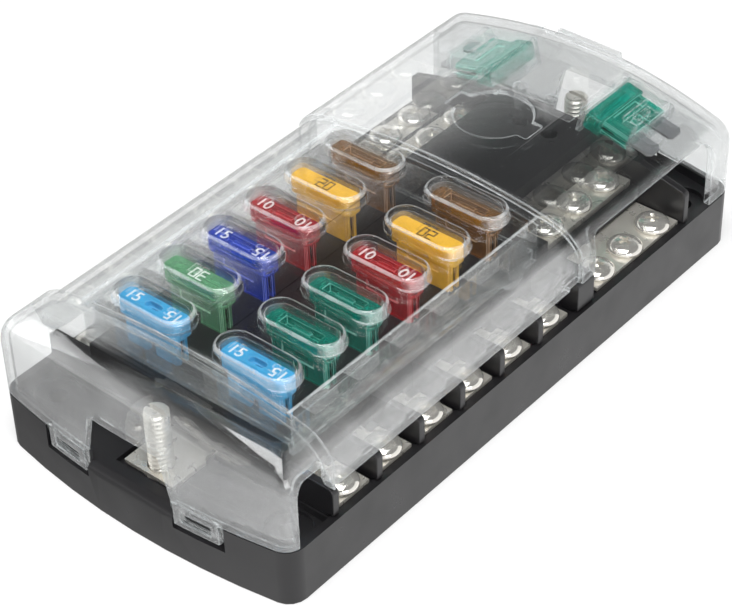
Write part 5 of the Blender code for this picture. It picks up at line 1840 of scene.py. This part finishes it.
@dataclass
class Studio:
    """Pale floor, soft lamps and the camera at the photograph's angle."""

    azimuth: float = 40.534
    elevation: float = 39.555
    roll: float = -1.435
    distance: float = 0.56632
    aim_y: float = 1.257 * MM
    focal_pixels: float = 2317.92
    sensor: float = 36.0
    image_width: int = 732
    shift: tuple[float, float] = (-23.03, 21.57)
    sweep: tuple[float, float] = (0.45, 0.635)
    ceiling: float = 0.05
    soft_light: float = 0.55
    floor_glow: float = 0.55
    floor_reach: float = 3.0
    floor_drop: float = 0.2 * MM
    flag: tuple[float, float] = (-45 * MM, 50 * MM)
    flag_light: tuple[float, float] = (0.4, 1.15)

    def camera(self) -> None:
        """Sets the camera where the solved photograph puts it."""
        az, el, roll = (math.radians(v) for v in (self.azimuth, self.elevation, self.roll))
        back = Vector((math.sin(az) * math.cos(el), -math.cos(az) * math.cos(el), math.sin(el)))
        right = Vector((math.cos(az), math.sin(az), 0.0))
        up = back.cross(right)
        right = math.cos(roll) * right + math.sin(roll) * up
        up = back.cross(right)
        data = bpy.data.cameras.new("photo_camera")
        data.sensor_width = self.sensor
        data.lens = self.focal_pixels * self.sensor / self.image_width
        data.shift_x, data.shift_y = (value / self.image_width for value in self.shift)
        data.clip_start, data.clip_end = 0.01, 20.0
        camera = bpy.data.objects.new("photo_camera", data)
        turn = Matrix((right, up, back)).transposed().to_4x4()
        place = self.distance * back + Vector((0, self.aim_y, 0))
        camera.matrix_world = Matrix.Translation(place) @ turn
        bpy.context.scene.collection.objects.link(camera)
        bpy.context.scene.camera = camera

    def seen_directly(self, tree: Tree) -> Socket:
        """One where the camera, a reflection or clear plastic looks, else nought.

        Args:
            tree: The node tree.

        Returns:
            The output with that value.
        """
        rays = add_node(tree, "LightPath").outputs
        both = add_node(tree, "Math", {0: rays["Is Camera Ray"], 1: rays["Is Glossy Ray"]},
                        operation="MAXIMUM")
        return add_node(tree, "Math", {0: both.outputs[0], 1: rays["Is Transmission Ray"]},
                        operation="MAXIMUM").outputs[0]

    def world(self) -> None:
        """A white sweep below a dim ceiling to look at, and an even soft light.

        Reflections see white up to the sweep's rim and a dim ceiling above
        it, so a flat roof stays dark while its left side takes a pale sheen.
        """
        world = bpy.data.worlds.new("surround")
        world.use_nodes = True
        tree = world.node_tree
        tree.nodes.clear()
        place = add_node(tree, "TexCoord").outputs["Generated"]
        up = add_node(tree, "SeparateXYZ", {0: place}).outputs["Z"]
        seen = add_node(tree, "MapRange", {
            "Value": up, "From Min": self.sweep[0], "From Max": self.sweep[1], "To Min": 1.0,
            "To Max": self.ceiling}, interpolation_type="SMOOTHSTEP")
        strength = add_node(tree, "MapRange", {
            "Value": self.seen_directly(tree), "To Min": self.soft_light,
            "To Max": seen.outputs[0]})
        back = add_node(tree, "Background", {"Color": linear(WHITE),
                                             "Strength": strength.outputs[0]})
        add_node(tree, "OutputWorld", {"Surface": back.outputs[0]})
        bpy.context.scene.world = world

    def floor(self) -> None:
        """A wide pale floor, white to look at, that keeps the soft shadow.

        In reflections it darkens towards -X, as beside a black flag, so the
        box's left end is darker than its right side.
        """
        material, tree, surface = blank_material("paper_floor")
        paper = add_node(tree, "BsdfDiffuse", {"Color": linear("f2f2f2"), "Roughness": 0.6})
        glow = add_node(tree, "Emission", {"Color": linear(WHITE), "Strength": 1.0})
        share = add_node(tree, "Math", {0: self.seen_directly(tree), 1: self.floor_glow},
                         operation="MULTIPLY")
        mix = add_node(tree, "MixShader", {0: share.outputs[0], 1: paper.outputs[0],
                                           2: glow.outputs[0]})
        place = add_node(tree, "TexCoord").outputs["Object"]
        flag = add_node(tree, "MapRange", {
            "Value": add_node(tree, "SeparateXYZ", {0: place}).outputs["X"],
            "From Min": self.flag[0], "From Max": self.flag[1],
            "To Min": self.flag_light[0], "To Max": self.flag_light[1]})
        reflected = add_node(tree, "Emission", {"Color": linear(WHITE),
                                                "Strength": flag.outputs[0]})
        floor_seen = add_node(tree, "MixShader", {
            0: add_node(tree, "LightPath").outputs["Is Glossy Ray"], 1: mix.outputs[0],
            2: reflected.outputs[0]})
        tree.links.new(floor_seen.outputs[0], surface)
        square = np.array([(-1, -1), (1, -1), (1, 1), (-1, 1)]) * self.floor_reach
        floor = mesh_object("floor", at_height(square, 0), [(0, 1, 2, 3)])
        moved(floor, spot(0, 0, -self.floor_drop))
        floor.data.materials.append(material)
        bpy.context.scene.collection.objects.link(floor)

    def lamp(self, name: str, place: Point, size: float, power: float) -> None:
        """A square softbox that faces the box's middle.

        Args:
            name: Name of the lamp.
            place: Where it stands.
            size: Length of its sides.
            power: Its power in watts.
        """
        data = bpy.data.lights.new(name, "AREA")
        data.shape, data.size, data.energy = "SQUARE", size, power
        lamp = bpy.data.objects.new(name, data)
        lamp.location = place
        lamp.rotation_euler = Vector(place).to_track_quat("Z", "Y").to_euler()
        bpy.context.scene.collection.objects.link(lamp)

    def build(self) -> None:
        """Sets the stage."""
        self.camera()
        self.world()
        self.floor()
        self.lamp("key_softbox", (0.12, -0.22, 0.85), 0.55, 6.0)
        self.lamp("left_softbox", (-0.75, -0.25, 0.35), 0.5, 1.0)
        self.lamp("right_softbox", (0.8, -0.35, 0.4), 0.4, 2.2)
        bpy.context.scene.view_settings.view_transform = "Standard"


def main() -> None:
    """Builds the sub-assemblies in order and reports each piece."""
    logging.basicConfig(level=logging.INFO, format="%(name)s %(message)s", stream=sys.stdout)
    layout = Layout.read()
    bench = Bench()
    finishes = Finishes()
    Studio().build()
    BlackMouldings(bench, finishes).build()
    Metalwork(finishes).build()
    stud = ThreadedStud(bench, finishes, layout)
    stud.build("positive_stud", -1)
    stud.build("negative_stud", 1)
    screw = ClampScrew(bench, finishes)
    screw.build_loads()
    NegativeBus(bench, finishes, screw).build()
    fuse = BladeFuse(bench, finishes, layout)
    for side, ratings in ROWS.items():
        for row, rating in enumerate(ratings, 1):
            fuse.build_row(side, row, rating)
    cover = ClearCover(bench, finishes, layout)
    for side, sign in SIDES.items():
        fuse.build_spare(side, cover.spare_frame(sign))
    cover.build()
    LOG.info("%d pieces", bench.pieces)


if __name__ == "__main__":
    main()
